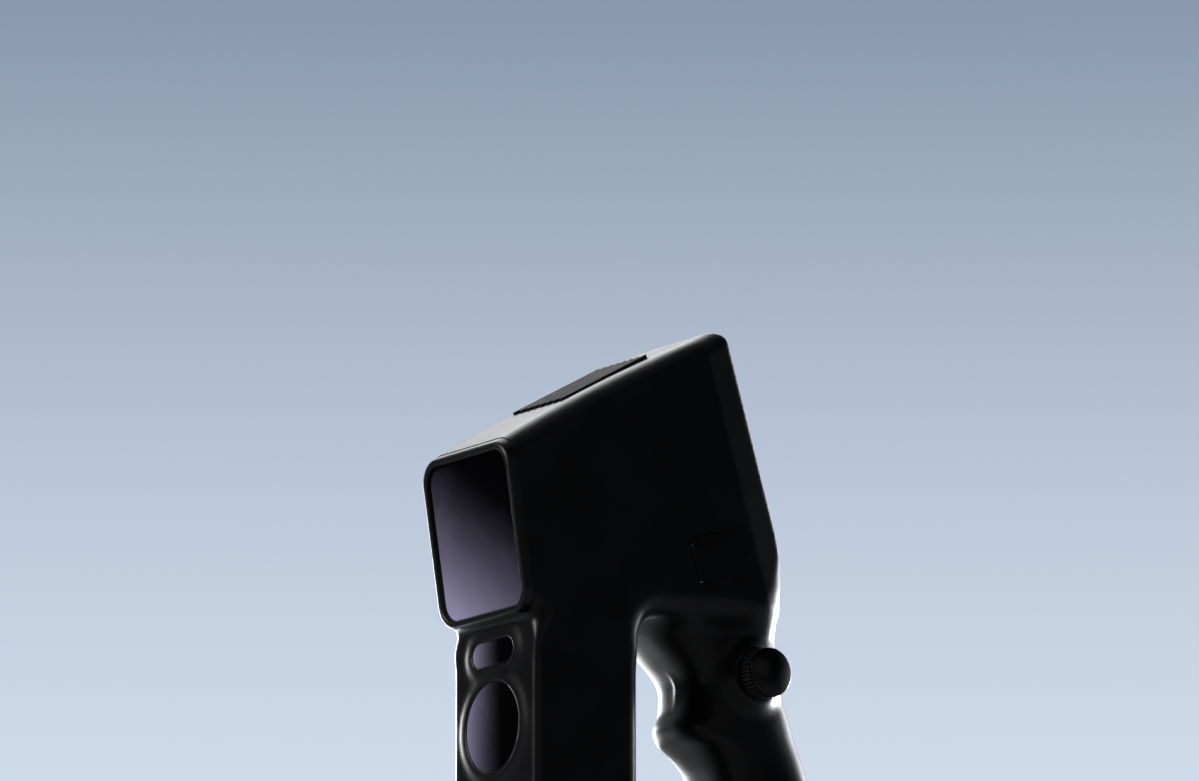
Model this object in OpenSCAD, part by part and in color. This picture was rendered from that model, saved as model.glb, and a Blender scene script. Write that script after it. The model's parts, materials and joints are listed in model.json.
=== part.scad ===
// Handheld 3-D scanner: a wedge head on a column and a raked grip, closed by a base.
// Millimetres. Z is up, the windows face -Y, the dial side is +X.
// The origin is the mouth of the tripod socket, on the symmetry plane.

/* [Body] */
// Width of the head, the foot and the base
body_w = 52; // [48:1:58]
// Wall of the moulded housings
wall = 2.4; // [2:0.1:3]
// Rounding of the column's rear edges
edge_r = 6; // [4:0.5:8]
// Rounding of the column's front edges
front_edge_r = 2.2; // [1.8:0.1:4]
// Gap between a piece and the seat it drops into
seat_gap = 0.3; // [0.2:0.05:0.4]
// Backward lean of the rear face, the parting plane and the grip
rake = 17; // [14:0.5:20]

/* [Head] */
// Height of the head's lower front edge above the base plane
head_z = 115.6; // [110:0.5:125]
// Height of the front face along its slope
head_front_h = 57.5; // [54:0.5:64]
// Downward pitch of the front face
head_pitch = 9; // [6:0.5:12]
// Length of the sloping top
head_top_l = 103.7; // [98:0.1:110]
// Rise of the sloping top
head_rise = 29.1; // [27:0.1:31]
// Length of the rear face
head_rear_l = 102.6; // [98:0.2:106]
// Corner radius of the head
head_r = 8.5; // [7:0.5:10]
// Crown of the sloping top
top_crown = 1.4; // [0.8:0.1:2]
// Depth of the rear housing behind the parting plane
cap_d = 11; // [10:0.5:13]
// Draft of the rear housing's sides, from the parting plane to the rear face
cap_draft = 3; // [2:0.25:4]
// Rise of the rear face's lower end above the head's underside
chin_h = 8; // [4:0.5:10]

/* [Windows] */
// Width of the frame round the projector glass
rim_w = 2.4; // [2:0.1:3]
// Depth of the projector glass below the frame
glass_drop = 2; // [1.5:0.1:3]
// Thickness of every window glass
glass_t = 1.6; // [1.2:0.1:2]
// Height of the round flash window's centre
flash_z = 80; // [78:0.5:83]
// Radius of the flash glass
flash_r = 15.5; // [14:0.5:16]
// Height of the pill window's centre
camera_z = 105.2; // [104.5:0.5:107]
// Width of the pill glass
camera_w = 24; // [20:0.5:26]
// Height of the pill glass
camera_h = 8.5; // [7.5:0.5:9]
// Height of the raised surrounds of the pill and flash windows
surround_h = 1.3; // [0.8:0.1:2]
// Reach of the raised surrounds beyond their glass
surround_w = 5; // [3:0.5:6]
// Height of the lower window's frame
foot_h = 40; // [36:1:44]

/* [Column and base] */
// Depth of the column
column_d = 43.5; // [40:0.5:46]
// Inset of the column's sides from the head's
column_in = 1.6; // [1:0.1:2]
// Distance from the origin forward to the column's front face
column_reach = 63.2; // [60:0.2:68]
// How far the head overhangs the column
overhang = 4.4; // [3:0.2:5]
// Radius of the arches at both ends of the finger gap
arch_r = 9; // [7:0.5:11]
// Height of the base's upper face
base_h = 17; // [15:0.5:20]
// Width of the base at its rear end
base_rear_w = 42; // [40:1:46]

/* [Vent and fan] */
// Width of the vent grille
vent_w = 30; // [26:1:34]
// Length of the vent grille
vent_l = 40.5; // [36:0.5:44]
// Number of fins
vent_fins = 8; // [6:1:10]
// Distance of the grille's centre from the head's top front edge
vent_reach = 56; // [50:1:60]
// Outside width of the fan
fan_w = 30; // [26:1:31]

/* [Dial] */
// Radius of the dial over its ridges
dial_r = 8.5; // [7.5:0.25:9.5]
// Height of the knurled skirt
dial_h = 6.2; // [5:0.2:7]
// Number of ridges round the skirt
dial_ridges = 30; // [20:1:36]
// Push travel of the dial
dial_throw = 0.8; // [0.5:0.1:1]
// Drop of the dial's axis below the head's lower front edge
dial_drop = 11.6; // [10:0.1:13]
// Distance of the dial's axis in front of the rear plane
dial_back = 20.5; // [18:0.5:22]

/* [Port cover and display] */
// Length of the port cover
port_l = 24; // [22:1:26]
// Height of the port cover
port_h = 18; // [15:1:19]
// Thickness of the port cover
port_t = 2.2; // [1.8:0.1:2.3]
// Width of the display glass
display_w = 38; // [34:1:40]
// Length of the display glass
display_l = 78; // [70:1:82]

/* [Hidden] */
$fn = 48;
BIG = 400;
half_w = body_w / 2;
column_w = body_w - 2 * column_in;
in_w = column_w - 2 * wall;
column_f = -column_reach;
column_b = column_f + column_d;

// Side view of the head as [y, z] points: front bottom, front top, rear top, rear bottom
up_front = [-sin(head_pitch), cos(head_pitch)];
up_rear = [-sin(rake), cos(rake)];
out_rear = [cos(rake), sin(rake)];
p_fb = [column_f - overhang, head_z];
p_ft = p_fb + head_front_h * up_front;
p_rt = p_ft + head_top_l * [cos(head_rise), sin(head_rise)];
p_rb = p_rt - head_rear_l * up_rear;

// Where the parting plane crosses the top line and the underside line of the head
cut_top = (p_rt - p_ft) * [cos(rake), sin(rake)];
cut_low = (p_rb - p_fb) * [cos(rake), sin(rake)];
p_pt = p_rt - (p_rt - p_ft) * cap_d / cut_top;
p_pb = p_rb - (p_rb - p_fb) * cap_d / cut_low;

// Underside of the head and the raked rear plane
function under_z(y) = p_fb[1] + (y - p_fb[0]) * (p_rb[1] - p_fb[1]) / (p_rb[0] - p_fb[0]);
function rear_y(z) = p_rt[0] + (p_rt[1] - z) * tan(rake);
arch_z = under_z(column_b + arch_r);

// Window frames: rim depth, spigot length and the spigot's inset from the rim's outline
frame_t = glass_drop + glass_t + 0.2;
spigot_l = 4;
spigot_in = wall + seat_gap;

// Foot with the lower window, pitched up as much as the head is pitched down
pad_t = 1.2;
cover_t = 2;
floor_z = pad_t + cover_t;
foot_up = [sin(head_pitch), cos(head_pitch)];
foot_z = floor_z + foot_h * cos(head_pitch) + frame_t * sin(head_pitch) + seat_gap;
f_top = [column_f - overhang, foot_z];
f_low = f_top - foot_h * foot_up;
over_h = 7;

// Grip stations above the base: height from a datum, depth from the rear plane, back swell, half width
grip_upper = [
    [15, 60, -4, 25.2], [10.5, 59, -2.4, 24.2], [6.5, 56.6, -1.2, 22.6],
    [2.4, 53.2, 0.2, 20.6], [-1.6, 50, 1.6, 19.3], [-5.6, 46.9, 1.2, 18.5],
    [-9.6, 43.8, -0.4, 18], [-13.6, 42.2, -1.5, 17.8], [-18.6, 43.3, -1.8, 17.7], [-23.6, 45.6, -1.3, 17.8],
    [-26.6, 48, -1, 17.9], [-28.6, 49.3, -0.9, 18], [-30.6, 49.4, -0.8, 18], [-33.6, 48, -0.7, 18.1],
    [-36.6, 44, -0.6, 18.2], [-40.6, 40.9, -0.5, 18.3], [-46.6, 39.2, -0.5, 18.5], [-55.6, 38.6, -0.6, 18.7]];
grip_lower = [
    [31, 38.9, 0, 18.7], [19, 39.4, 0, 18.4], [10, 40.2, 0, 18.3], [5, 41.8, 0, 18.6], [1.5, 45, 0, 19.6],
    [-4, 54, 0, 20.6]];
grip = concat([for (s = grip_upper) [head_z + s[0], s[1], s[2], s[3]]],
              [for (s = grip_lower) [base_h + s[0], s[1], s[2], s[3]]]);
oval_n = 36;
oval_e = 2.5;

flare_z = min(head_z - over_h, arch_z - arch_r);
// Heights where the column's outline is taken, closer together in its arches
column_z = concat([0, 9], [for (a = [0:18:90]) base_h + arch_r * (1 - cos(a))],
                  [for (a = [0:30:90]) foot_z + over_h * (1 - cos(a))],
                  [for (k = [0:9]) flare_z + (arch_z - flare_z) * sin(10 * k)], [arch_z + head_r]);

// Dial axis, raked port cover, vent and display places
dial_z = head_z - dial_drop;
dial_y = rear_y(dial_z) - dial_back;
boss_top = 21.3;
boss_r = dial_r + 0.9;
bush_r = 4.5;
stem_r = 3;
run_gap = 0.05;
port_up = 23.3;
port_in = 2.2;
port_mid = p_pb + port_up * up_rear - (port_l / 2 + port_in) * out_rear;
knuckle_r = 1.2;
pin_r = 0.8;
port_gap = 0.35;
port_r = 2.8;
front_mid = (p_fb + p_ft) / 2;
rear_mid = (p_rt + p_rb) / 2;
foot_mid = (f_top + f_low) / 2;
vent_s = vent_reach / norm(p_pt - p_ft);
vent_mid = p_ft + (p_pt - p_ft) * vent_s
    + top_crown * 4 * vent_s * (1 - vent_s) * [-sin(head_rise), cos(head_rise)];
vent_tilt = head_rise;
display_mid = rear_mid + 3 * up_rear;

// Optical bench: an upright plate across the column and the head
bench_t = 3;
bench_y = column_f + 18;
bench_back = bench_y + bench_t;
bench_top = front_mid[1] + 24;
glass_sink = 0.3;
part_back = 0.3;
glass_back = column_f - surround_h + glass_sink + glass_t;

// Screw places under the base
post_r = 3.9;
front_x = half_w - wall - post_r + 0.5;
rear_x = base_rear_w / 2 - 5;
screw_at = [[-front_x, column_f + 30], [front_x, column_f + 30], [-rear_x, 60], [rear_x, 60]];
screw_r = 1.25;
head_screw_r = 2.4;

// Sub-part to build, or "all"

// Points of a rectangle centred on the origin, its +Y corners rounded by r and its -Y corners by q
function rr2(w, h, r, q, n = 6) = [for (c = [[1, 1, 0, r], [-1, 1, 90, r], [-1, -1, 180, q], [1, -1, 270, q]])
    for (k = [0:n]) let (a = c[2] + 90 * k / n)
        [c[0] * (w / 2 - c[3]) + c[3] * cos(a), c[1] * (h / 2 - c[3]) + c[3] * sin(a)]];
function rr(w, h, r, n = 6) = rr2(w, h, r, r, n);

// Points of a superellipse
function oval(a, b) = [for (k = [0:oval_n - 1]) let (c = cos(360 * k / oval_n), s = sin(360 * k / oval_n))
    [a * sign(c) * pow(abs(c), 2 / oval_e), b * sign(s) * pow(abs(s), 2 / oval_e)]];

// Outline points lifted to height z and moved by y
function ring(pts, y, z) = [for (p = pts) [p[0], p[1] + y, z]];

// Concave quarter-ellipse: offset at distance d from the face it runs into
function flare(d, h, depth) = d >= h ? 0 : depth * (1 - sqrt(1 - pow(1 - max(d, 0) / h, 2)));

// Solid through rings of equal point counts, lowest ring first, points counter-clockwise from above
module loft(rings) {
    n = len(rings[0]);
    m = len(rings);
    sides = [for (i = [0:m - 2]) for (j = [0:n - 1]) let (k = (j + 1) % n)
        each [[i * n + j, (i + 1) * n + j, (i + 1) * n + k], [i * n + j, (i + 1) * n + k, i * n + k]]];
    caps = [[for (j = [0:n - 1]) j], [for (j = [n - 1:-1:0]) (m - 1) * n + j]];
    polyhedron([for (r = rings) each r], concat(sides, caps), convexity = 10);
}

// Thin rounded plate standing between two side-view points
module plate(low, top, w, r) {
    d = top - low;
    translate([0, (low[0] + top[0]) / 2, (low[1] + top[1]) / 2])
        rotate([atan2(d[1], d[0]), 0, 0])
            linear_extrude(0.02, center = true) polygon(rr(w, norm(d), r));
}

// The same plate with its outline drawn in by i
module inset_plate(low, top, w, r, i) {
    u = (top - low) / norm(top - low);
    plate(low + i * u, top - i * u, w - 2 * i, max(r - i, 1));
}

// Frames on the faces of the body, with +Z out of the face and +Y up it
module at_front() {
    translate([0, front_mid[0], front_mid[1]]) rotate([90 + head_pitch, 0, 0]) children();
}
module at_foot() {
    translate([0, foot_mid[0], foot_mid[1]]) rotate([90 - head_pitch, 0, 0]) children();
}
module at_rear(p) {
    translate([0, p[0], p[1]]) rotate([90 + rake, 0, 0]) rotate([0, 180, 0]) children();
}
module at_top() {
    translate([0, vent_mid[0], vent_mid[1]]) rotate([vent_tilt, 0, 0]) children();
}
module at_port() {
    translate([half_w, port_mid[0], port_mid[1]]) rotate([rake, 0, 0]) rotate([90, 0, 90]) children();
}
module at_dial() {
    translate([0, dial_y, dial_z]) rotate([0, 90, 0]) children();
}
module at_column(z) {
    translate([0, column_f, z]) rotate([90, 0, 0]) children();
}

// Everything behind the parting plane, which lies just behind the head's widest slice
module behind_parting() {
    translate([0, p_pt[0], p_pt[1]]) rotate([rake, 0, 0])
        translate([-BIG / 2, part_back, -BIG]) cube([BIG, BIG, 2 * BIG]);
}

// Wedge head drawn in by i: slices from the front face to the parting plane, then the drafted cap
module head_form(i) {
    hull() {
        for (k = [0:4]) {
            t = k / 4;
            rise = top_crown * 4 * t * (1 - t) * [-sin(head_rise), cos(head_rise)];
            inset_plate(p_fb + t * (p_pb - p_fb), p_ft + t * (p_pt - p_ft) + rise, body_w, head_r, i);
        }
        inset_plate(p_rb + (cap_draft * 0.3 + chin_h * 0.8) * up_rear - (cap_draft * 0.7 + i) * out_rear,
            p_rt - cap_draft * 0.3 * up_rear - (cap_draft * 0.7 + i) * out_rear,
            body_w - cap_draft * 0.9, head_r - 1, i);
        inset_plate(p_rb + (cap_draft + chin_h) * up_rear - i * out_rear,
            p_rt - cap_draft * up_rear - i * out_rear,
            body_w - 2 * cap_draft, head_r - 2, i);
    }
}

// Column drawn in by i, flaring into the head, the foot and the base
module column_form(i) {
    loft([for (z = column_z)
        let (f = column_f - flare(head_z - z, over_h, overhang) - flare(z - foot_z, over_h, overhang) + i,
            b = column_b + flare(arch_z - z, arch_r, arch_r) + flare(z - base_h, arch_r, arch_r) - i,
            e = flare(head_z - z, over_h, 1) + flare(z - foot_z, over_h, 1),
            q = front_edge_r + (head_r - front_edge_r) * min(e, 1))
        ring(rr2(column_w - 2 * i, b - f, edge_r - i / 2, q - i / 2), (f + b) / 2, z)]);
}

// Foot with its pitched front face drawn in by i
module foot_form(i) {
    hull() {
        inset_plate(f_low, f_top, body_w, head_r, i);
        for (z = [floor_z - 2, foot_z - 6 - i])
            translate([0, column_f + column_d / 2, z])
                linear_extrude(0.02) polygon(rr(column_w - 3 - 2 * i, column_d - 14 - 2 * i, edge_r));
    }
}

// Base slab drawn in by i, its rear end following the raked plane
module base_form(i) {
    hull() for (s = [[0, 0], [base_h - 5, 0], [base_h - 1.6, 1.2], [base_h, 4.5]]) {
        z = s[0] - (s[0] > 0 ? i : 0);
        translate([0, 0, z - 0.02]) linear_extrude(0.02) polygon(base_outline(z, s[1] + i));
    }
}
function corner(x, y, r, a) = [for (k = [0:5]) [x + r * cos(a + 18 * k), y + r * sin(a + 18 * k)]];
base_front = f_low[0] + 2.5 + head_r;
function base_outline(z, e) = let (b = rear_y(z), f = base_front, x = half_w - head_r, u = base_rear_w / 2 - 14)
    concat(corner(u, b - 14, 14 - e, 0), corner(-u, b - 14, 14 - e, 90),
        [[1.4 - half_w + e, b / 2], [e - half_w, column_b + arch_r]],
        corner(-x, f, head_r - e, 180), corner(x, f, head_r - e, 270),
        [[half_w - e, column_b + arch_r], [half_w - e - 1.4, b / 2]]);

// Grip drawn in by i
module grip_form(i) {
    loft([for (k = [len(grip) - 1:-1:0])
        let (g = grip[k], b = rear_y(g[0]) + g[2] - i, f = rear_y(g[0]) - g[1] + i)
        ring(oval(g[3] - i, (b - f) / 2), (f + b) / 2, g[0])]);
}

// Whole outside of the two housings
module body() {
    head_form(0);
    column_form(0);
    foot_form(0);
    base_form(0);
    grip_form(0);
    at_column(flash_z) rotate_extrude() flash_surround();
    at_column(camera_z) hull() for (x = [-1, 1]) translate([x * (camera_w - camera_h) / 2, 0, -1])
        cylinder(r1 = camera_h / 2 + surround_w, r2 = camera_h / 2 + 1, h = surround_h + 1);
    at_dial() hull() for (s = [[5.4, boss_top - 12], [0.8, 1], [0, 0]])
        translate([0, 0, boss_top - s[1] - 0.02]) cylinder(r = boss_r + s[0], h = 0.02);
}

// Space inside the two housings, open at the base
module cavity() {
    head_form(wall);
    column_form(wall);
    foot_form(wall);
    base_form(wall);
    grip_form(wall);
}

// Everything cut out of the housings for the pieces they carry
module housing_cuts() {
    translate([-BIG / 2, -BIG / 2, -BIG]) cube([BIG, BIG, BIG + floor_z]);
    at_front() translate([-BIG / 2, -head_front_h / 2 - 0.05, -frame_t]) cube([BIG, head_front_h + 20, 40]);
    at_foot() {
        translate([-BIG / 2, -BIG / 2, -frame_t]) cube([BIG, BIG / 2 + foot_h / 2 + 0.05, 40]);
        translate([0, 0, -frame_t - spigot_l - seat_gap]) linear_extrude(spigot_l + frame_t)
            polygon(rr(body_w - 2 * spigot_in + 2 * seat_gap - 0.1, foot_h - 2 * spigot_in, head_r - wall));
    }
    at_column(flash_z) translate([0, 0, -wall - 4]) cylinder(r = flash_r + seat_gap, h = wall + 4 + over_h);
    at_column(camera_z) translate([0, 0, -wall - 4]) linear_extrude(wall + 4 + over_h)
        polygon(rr(camera_w + 2 * seat_gap, camera_h + 2 * seat_gap, camera_h / 2 + seat_gap - 0.01));
    at_top() translate([0, 0, -8]) linear_extrude(16)
        polygon(rr(vent_w + seat_gap, vent_l + seat_gap, 2.5));
    at_port() translate([0, 0, -9]) linear_extrude(18)
        polygon(rr(port_l + 2 * port_gap, port_h + 2 * port_gap, port_r + port_gap));
    at_dial() translate([0, 0, 10]) cylinder(r = bush_r + 0.1, h = 20);
    at_rear(display_mid) {
        translate([0, 0, -1.4]) linear_extrude(9)
            polygon(rr(display_w + 2 * seat_gap, display_l + 2 * seat_gap, 4));
        translate([0, 0, -8]) linear_extrude(9) polygon(rr(display_w - 4, display_l - 4, 2.5));
    }
}

// Profile of the soft rise round the flash window
module flash_surround() {
    polygon(concat([[0, -1], [flash_r + surround_w + 1, -1]], [for (k = [0:5])
        [flash_r + 1 + surround_w * (1 - k / 5), surround_h * (1 - cos(36 * k)) / 2]], [[0, surround_h]]));
}

// Posts inside the base that take the base screws
module screw_posts() {
    for (p = screw_at) translate([p[0], p[1], floor_z]) difference() {
        cylinder(r = post_r, h = base_h - floor_z - wall / 2, $fn = 24);
        translate([0, 0, -1]) cylinder(r = screw_r - 0.2, h = 9, $fn = 24);
    }
}

module main_housing() color("#16161a") {
    difference() {
        body();
        cavity();
        housing_cuts();
        behind_parting();
    }
    screw_posts();
}

module rear_housing() color("#1d1d21") {
    difference() {
        intersection() {
            body();
            behind_parting();
        }
        cavity();
        housing_cuts();
    }
}

lip_h = 2.4;
lip_t = 1.6;
module base_cover() color("#141417") difference() {
    union() {
        translate([0, 0, pad_t]) linear_extrude(cover_t) polygon(base_outline(floor_z, 0));
        translate([0, 0, floor_z]) linear_extrude(lip_h) difference() {
            polygon(base_outline(floor_z + lip_h, wall + seat_gap));
            polygon(base_outline(floor_z + lip_h, wall + seat_gap + lip_t));
            for (p = screw_at) translate(p) circle(r = post_r + seat_gap);
        }
        translate([0, rear_y(20) - 22, floor_z]) linear_extrude(base_h - floor_z)
            square([18, 20], center = true);
    }
    for (p = screw_at) translate([p[0], p[1], 0]) {
        cylinder(r = head_screw_r + 0.2, h = pad_t + 1);
        cylinder(r = screw_r + 0.1, h = floor_z + 8);
    }
    cylinder(r = 5 + 0.05, h = floor_z + 1);
}

module base_pad() color("#0c0c0d") difference() {
    linear_extrude(pad_t) polygon(base_outline(floor_z, 2));
    translate([0, 0, -1]) cylinder(r = 5.6, h = pad_t + 2);
    for (p = screw_at) translate([p[0], p[1], -1]) cylinder(r = head_screw_r + 0.3, h = pad_t + 2);
}

module base_screws() color("#8c8c90") for (p = screw_at) translate([p[0], p[1], 0]) difference() {
    union() {
        translate([0, 0, pad_t - 0.6]) cylinder(r = head_screw_r, h = 1.6);
        translate([0, 0, pad_t + 1]) cylinder(r = screw_r - 0.25, h = 7.4);
    }
    translate([0, 0, pad_t - 1]) cylinder(r = 1, h = 1.4, $fn = 6);
}

// Tripod socket, 1/4 inch thread taken as its minor bore
socket_r = 2.55;
socket_l = 8;
module tripod_bush() color("#b08d46") difference() {
    union() {
        cylinder(r = 5, h = socket_l + 2.2);
        translate([0, 0, floor_z]) cylinder(r = 7.4, h = 1.6);
    }
    translate([0, 0, -1]) cylinder(r = socket_r, h = socket_l + 1);
}

// Frame round a window of w by h: rim flush with the body, ledge under the glass, spigot inside the housing
ledge_t = 0.4;
ledge_in = wall + 2.5;
module window_rim(w, h) {
    translate([0, 0, -frame_t]) linear_extrude(frame_t) difference() {
        polygon(rr(w, h, head_r));
        polygon(rr(w - 2 * rim_w, h - 2 * rim_w, head_r - rim_w));
    }
    translate([0, 0, -frame_t - spigot_l]) linear_extrude(spigot_l + ledge_t / 2) difference() {
        polygon(rr(w - 2 * spigot_in, h - 2 * spigot_in - 1, head_r - wall));
        polygon(rr(w - 2 * ledge_in, h - 2 * ledge_in - 1, head_r - wall - 2));
    }
    translate([0, 0, -frame_t]) linear_extrude(ledge_t) difference() {
        polygon(rr(w - 2, h - 2, head_r - 1));
        polygon(rr(w - 2 * ledge_in, h - 2 * ledge_in - 1, head_r - wall - 2));
    }
}
module window_pane(w, h) {
    translate([0, 0, -glass_drop - glass_t + 0.2]) linear_extrude(glass_t)
        polygon(rr(w - 2 * rim_w - 0.3, h - 2 * rim_w - 0.3, head_r - rim_w - 0.15));
}

module window_frame() color("#101013") at_front() window_rim(body_w, head_front_h);
module projector_glass() color("#3b2f6b") at_front() window_pane(body_w, head_front_h);
module foot_frame() color("#101013") at_foot() window_rim(body_w, foot_h);
module foot_glass() color("#3b2f6b") at_foot() window_pane(body_w, foot_h);

// Lens of radius r and rim height t, bulging b beyond its rim, standing on z = 0
module lens(r, b, t) {
    s = (r * r + b * b) / (2 * b);
    intersection() {
        translate([0, 0, t + b - s]) sphere(r = s, $fn = 96);
        cylinder(r = r, h = t + b + 1);
    }
}

// Projector: barrel on a body that reaches back to the bench
barrel_l = 7;
barrel_front = frame_t + 1.6;
module projector_module() color("#2a2a2e") difference() {
    at_front() {
        translate([0, 0, -barrel_front - barrel_l]) difference() {
            cylinder(r = 14, h = barrel_l);
            translate([0, 0, 2]) cylinder(r = 12.1, h = barrel_l);
        }
        translate([0, 0, -barrel_front - barrel_l - 40]) linear_extrude(40) polygon(rr(38, 42, 3));
    }
    translate([-BIG / 2, bench_y, -BIG / 2]) cube([BIG, BIG, 2 * BIG]);
}
module projector_lens() color("#241c44") at_front()
    translate([0, 0, -barrel_front - barrel_l + 2]) lens(12, 2.6, 2.2);

module camera_glass() color("#3b2f6b") translate([0, glass_back, camera_z]) rotate([90, 0, 0])
    linear_extrude(glass_t) polygon(rr(camera_w, camera_h, camera_h / 2 - 0.01));
camera_x = [-6.5, 6.5];
module camera_module() color("#2c2c31") {
    translate([-12, glass_back + 6, camera_z - 5]) cube([24, bench_y - glass_back - 6, 10]);
    for (x = camera_x) translate([x, glass_back + 6, camera_z]) rotate([90, 0, 0]) difference() {
        cylinder(r = 3.7, h = 5.4);
        translate([0, 0, 1.4]) cylinder(r = 3, h = 5);
    }
}
module camera_lenses() color("#241c44") for (x = camera_x)
    translate([x, glass_back + 4.6, camera_z]) rotate([90, 0, 0]) lens(2.95, 1, 1.6);

module flash_glass() color("#4a3f78") translate([0, glass_back, flash_z]) rotate([90, 0, 0])
    cylinder(r = flash_r, h = glass_t);
// Dished reflector standing on the bench behind the flash glass
flash_l = bench_y - column_f - wall - seat_gap;
module flash_reflector() color("#c9c9ce") translate([0, bench_y, flash_z]) rotate([90, 0, 0])
    rotate_extrude($fn = 64)
        polygon([[12.6, 0], [17.4, 0], [17.4, flash_l], [16.4, flash_l], [13.6, 4.2], [12.6, 4.2]]);
board_z = 4.4;
module flash_board() color("#1f4a33") translate([0, bench_y - board_z, flash_z]) rotate([90, 0, 0])
    difference() {
        cylinder(r = 13.4, h = 1.6);
        translate([0, 0, -1]) cylinder(r = 5.4, h = 4);
    }
led_n = 10;
module flash_leds() color("#e9e2a8") translate([0, bench_y - board_z - 1.6, flash_z]) rotate([90, 0, 0])
    for (k = [0:led_n - 1]) rotate(360 * k / led_n) translate([9.6, 0, 0]) {
        translate([-1.4, -1.4, 0]) cube([2.8, 2.8, 0.9]);
        translate([0, 0, 0.9]) cylinder(r = 1.1, h = 0.4);
    }
module flash_camera() color("#2c2c31") translate([0, bench_y, flash_z]) rotate([90, 0, 0]) {
    difference() {
        cylinder(r = 5.2, h = 11);
        translate([0, 0, 8]) cylinder(r = 4.2, h = 4);
    }
    translate([0, 0, 8]) lens(4.1, 1.2, 1);
}

// Lower camera on a wedge that stands on the bench
foot_barrel = frame_t + 2.4;
module foot_camera() color("#2c2c31") difference() {
    at_foot() {
        translate([0, 0, -foot_barrel - 8]) difference() {
            cylinder(r = 9, h = 8);
            translate([0, 0, 2]) cylinder(r = 7.6, h = 8);
        }
        translate([0, 0, -foot_barrel - 38]) linear_extrude(30) polygon(rr(30, 24, 2));
    }
    translate([-BIG / 2, bench_y, -BIG / 2]) cube([BIG, BIG, 2 * BIG]);
}
module foot_lens() color("#241c44") at_foot() translate([0, 0, -foot_barrel - 6]) lens(7.5, 2, 2);

module optical_bench() color("#9a9ca0") difference() {
    translate([-in_w / 2 + seat_gap, bench_y, floor_z + 8])
        cube([in_w - 2 * seat_gap, bench_t, bench_top - floor_z - 8]);
    translate([0, bench_back + 1, flash_z - 22]) rotate([90, 0, 0]) linear_extrude(bench_t + 2)
        polygon(rr(22, 14, 4));
    translate([0, bench_back + 1, head_z + 2]) rotate([90, 0, 0]) linear_extrude(bench_t + 2)
        polygon(rr(26, 8, 3));
}

// Main board on four posts behind the bench, with its chips and the heat sink on the largest one
main_z = front_mid[1];
board_w = 40;
board_h = 42;
board_t = 1.6;
board_post = 5;
board_edge = 4;
chip_w = 9;
chip_t = 1.4;
module main_board() color("#1f4a33") {
    translate([-board_w / 2, bench_back + board_post, main_z - board_h / 2]) cube([board_w, board_t, board_h]);
    for (x = [-1, 1], z = [-1, 1])
        translate([x * (board_w / 2 - board_edge), bench_back, main_z + z * (board_h / 2 - board_edge)])
            rotate([-90, 0, 0]) cylinder(r = 2.4, h = board_post + board_t / 2);
    for (x = [-board_w / 2 + board_edge, board_edge])
        translate([x, sink_y - 0.2, main_z - board_h / 2 + 2]) cube([chip_w, chip_t + 0.2, chip_w]);
}
sink_y = bench_back + board_post + board_t;
sink_w = 28;
sink_h = 26;
sink_t = 3;
sink_fin_d = 9;
sink_fin_t = 1.6;
sink_fins = 7;
sink_z = main_z - board_h / 2 + chip_w + board_edge;
module heat_sink() color("#a7a9ad") translate([-sink_w / 2, sink_y, sink_z]) {
    cube([sink_w, sink_t, sink_h]);
    for (k = [0:sink_fins - 1]) translate([k * (sink_w - sink_fin_t) / (sink_fins - 1), sink_t - 0.2, 0])
        cube([sink_fin_t, sink_fin_d + 0.2, sink_h]);
}

// Vent grille: border, lengthwise fins and the flange that carries the fan
fin_w = 1.6;
fin_edge = 0.6;
fin_up = 1;
flange_t = 1.4;
flange_z = wall + 1.2;
module vent_grille() color("#26262b") at_top() {
    translate([0, 0, -flange_z]) linear_extrude(flange_z + 0.3) difference() {
        polygon(rr(vent_w - 0.1, vent_l - 0.1, 2.3));
        polygon(rr(vent_w - 3, vent_l - 3, 1.2));
    }
    for (k = [0:vent_fins - 1])
        translate([(vent_w - fin_w - 2 * fin_edge) * (k / (vent_fins - 1) - 0.5), 0, -flange_z])
        translate([-fin_w / 2, -vent_l / 2 + 0.8, 0]) cube([fin_w, vent_l - 1.6, flange_z + fin_up]);
    translate([-vent_w / 2 + 1, -1, -flange_z]) cube([vent_w - 2, 2, 1.6]);
    translate([0, 0, -flange_z - flange_t]) linear_extrude(flange_t) difference() {
        polygon(rr(vent_w + 4, vent_l + 4, 3));
        polygon(rr(vent_w - 3, vent_l - 3, 1.2));
    }
}

// Fan hanging under the grille's flange
fan_h = 8;
fan_z = -flange_z - flange_t;
fan_bore = fan_w / 2 - 1.2;
module fan_frame() color("#141416") at_top() translate([0, 0, fan_z - fan_h]) {
    difference() {
        linear_extrude(fan_h) polygon(rr(fan_w, fan_w, 2.5));
        translate([0, 0, -1]) cylinder(r = fan_bore, h = fan_h + 2);
        for (x = [-1, 1], y = [-1, 1]) translate([x * (fan_w / 2 - 2.6), y * (fan_w / 2 - 2.6), -1])
            cylinder(r = 1, h = fan_h + 2);
    }
    for (a = [45:90:315]) rotate(a) translate([4, -1, 0]) cube([fan_bore - 3.6, 2, 1.2]);
    difference() {
        cylinder(r = 5, h = 1.2);
        translate([0, 0, -1]) cylinder(r = 1, h = 4);
    }
    translate([0, -fan_w / 2, fan_h]) translate([-4, -2.6, -1.2]) cube([8, 3, 1.2]);
    translate([0, fan_w / 2, fan_h]) translate([-4, -0.4, -1.2]) cube([8, 3, 1.2]);
}
blades = 7;
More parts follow.
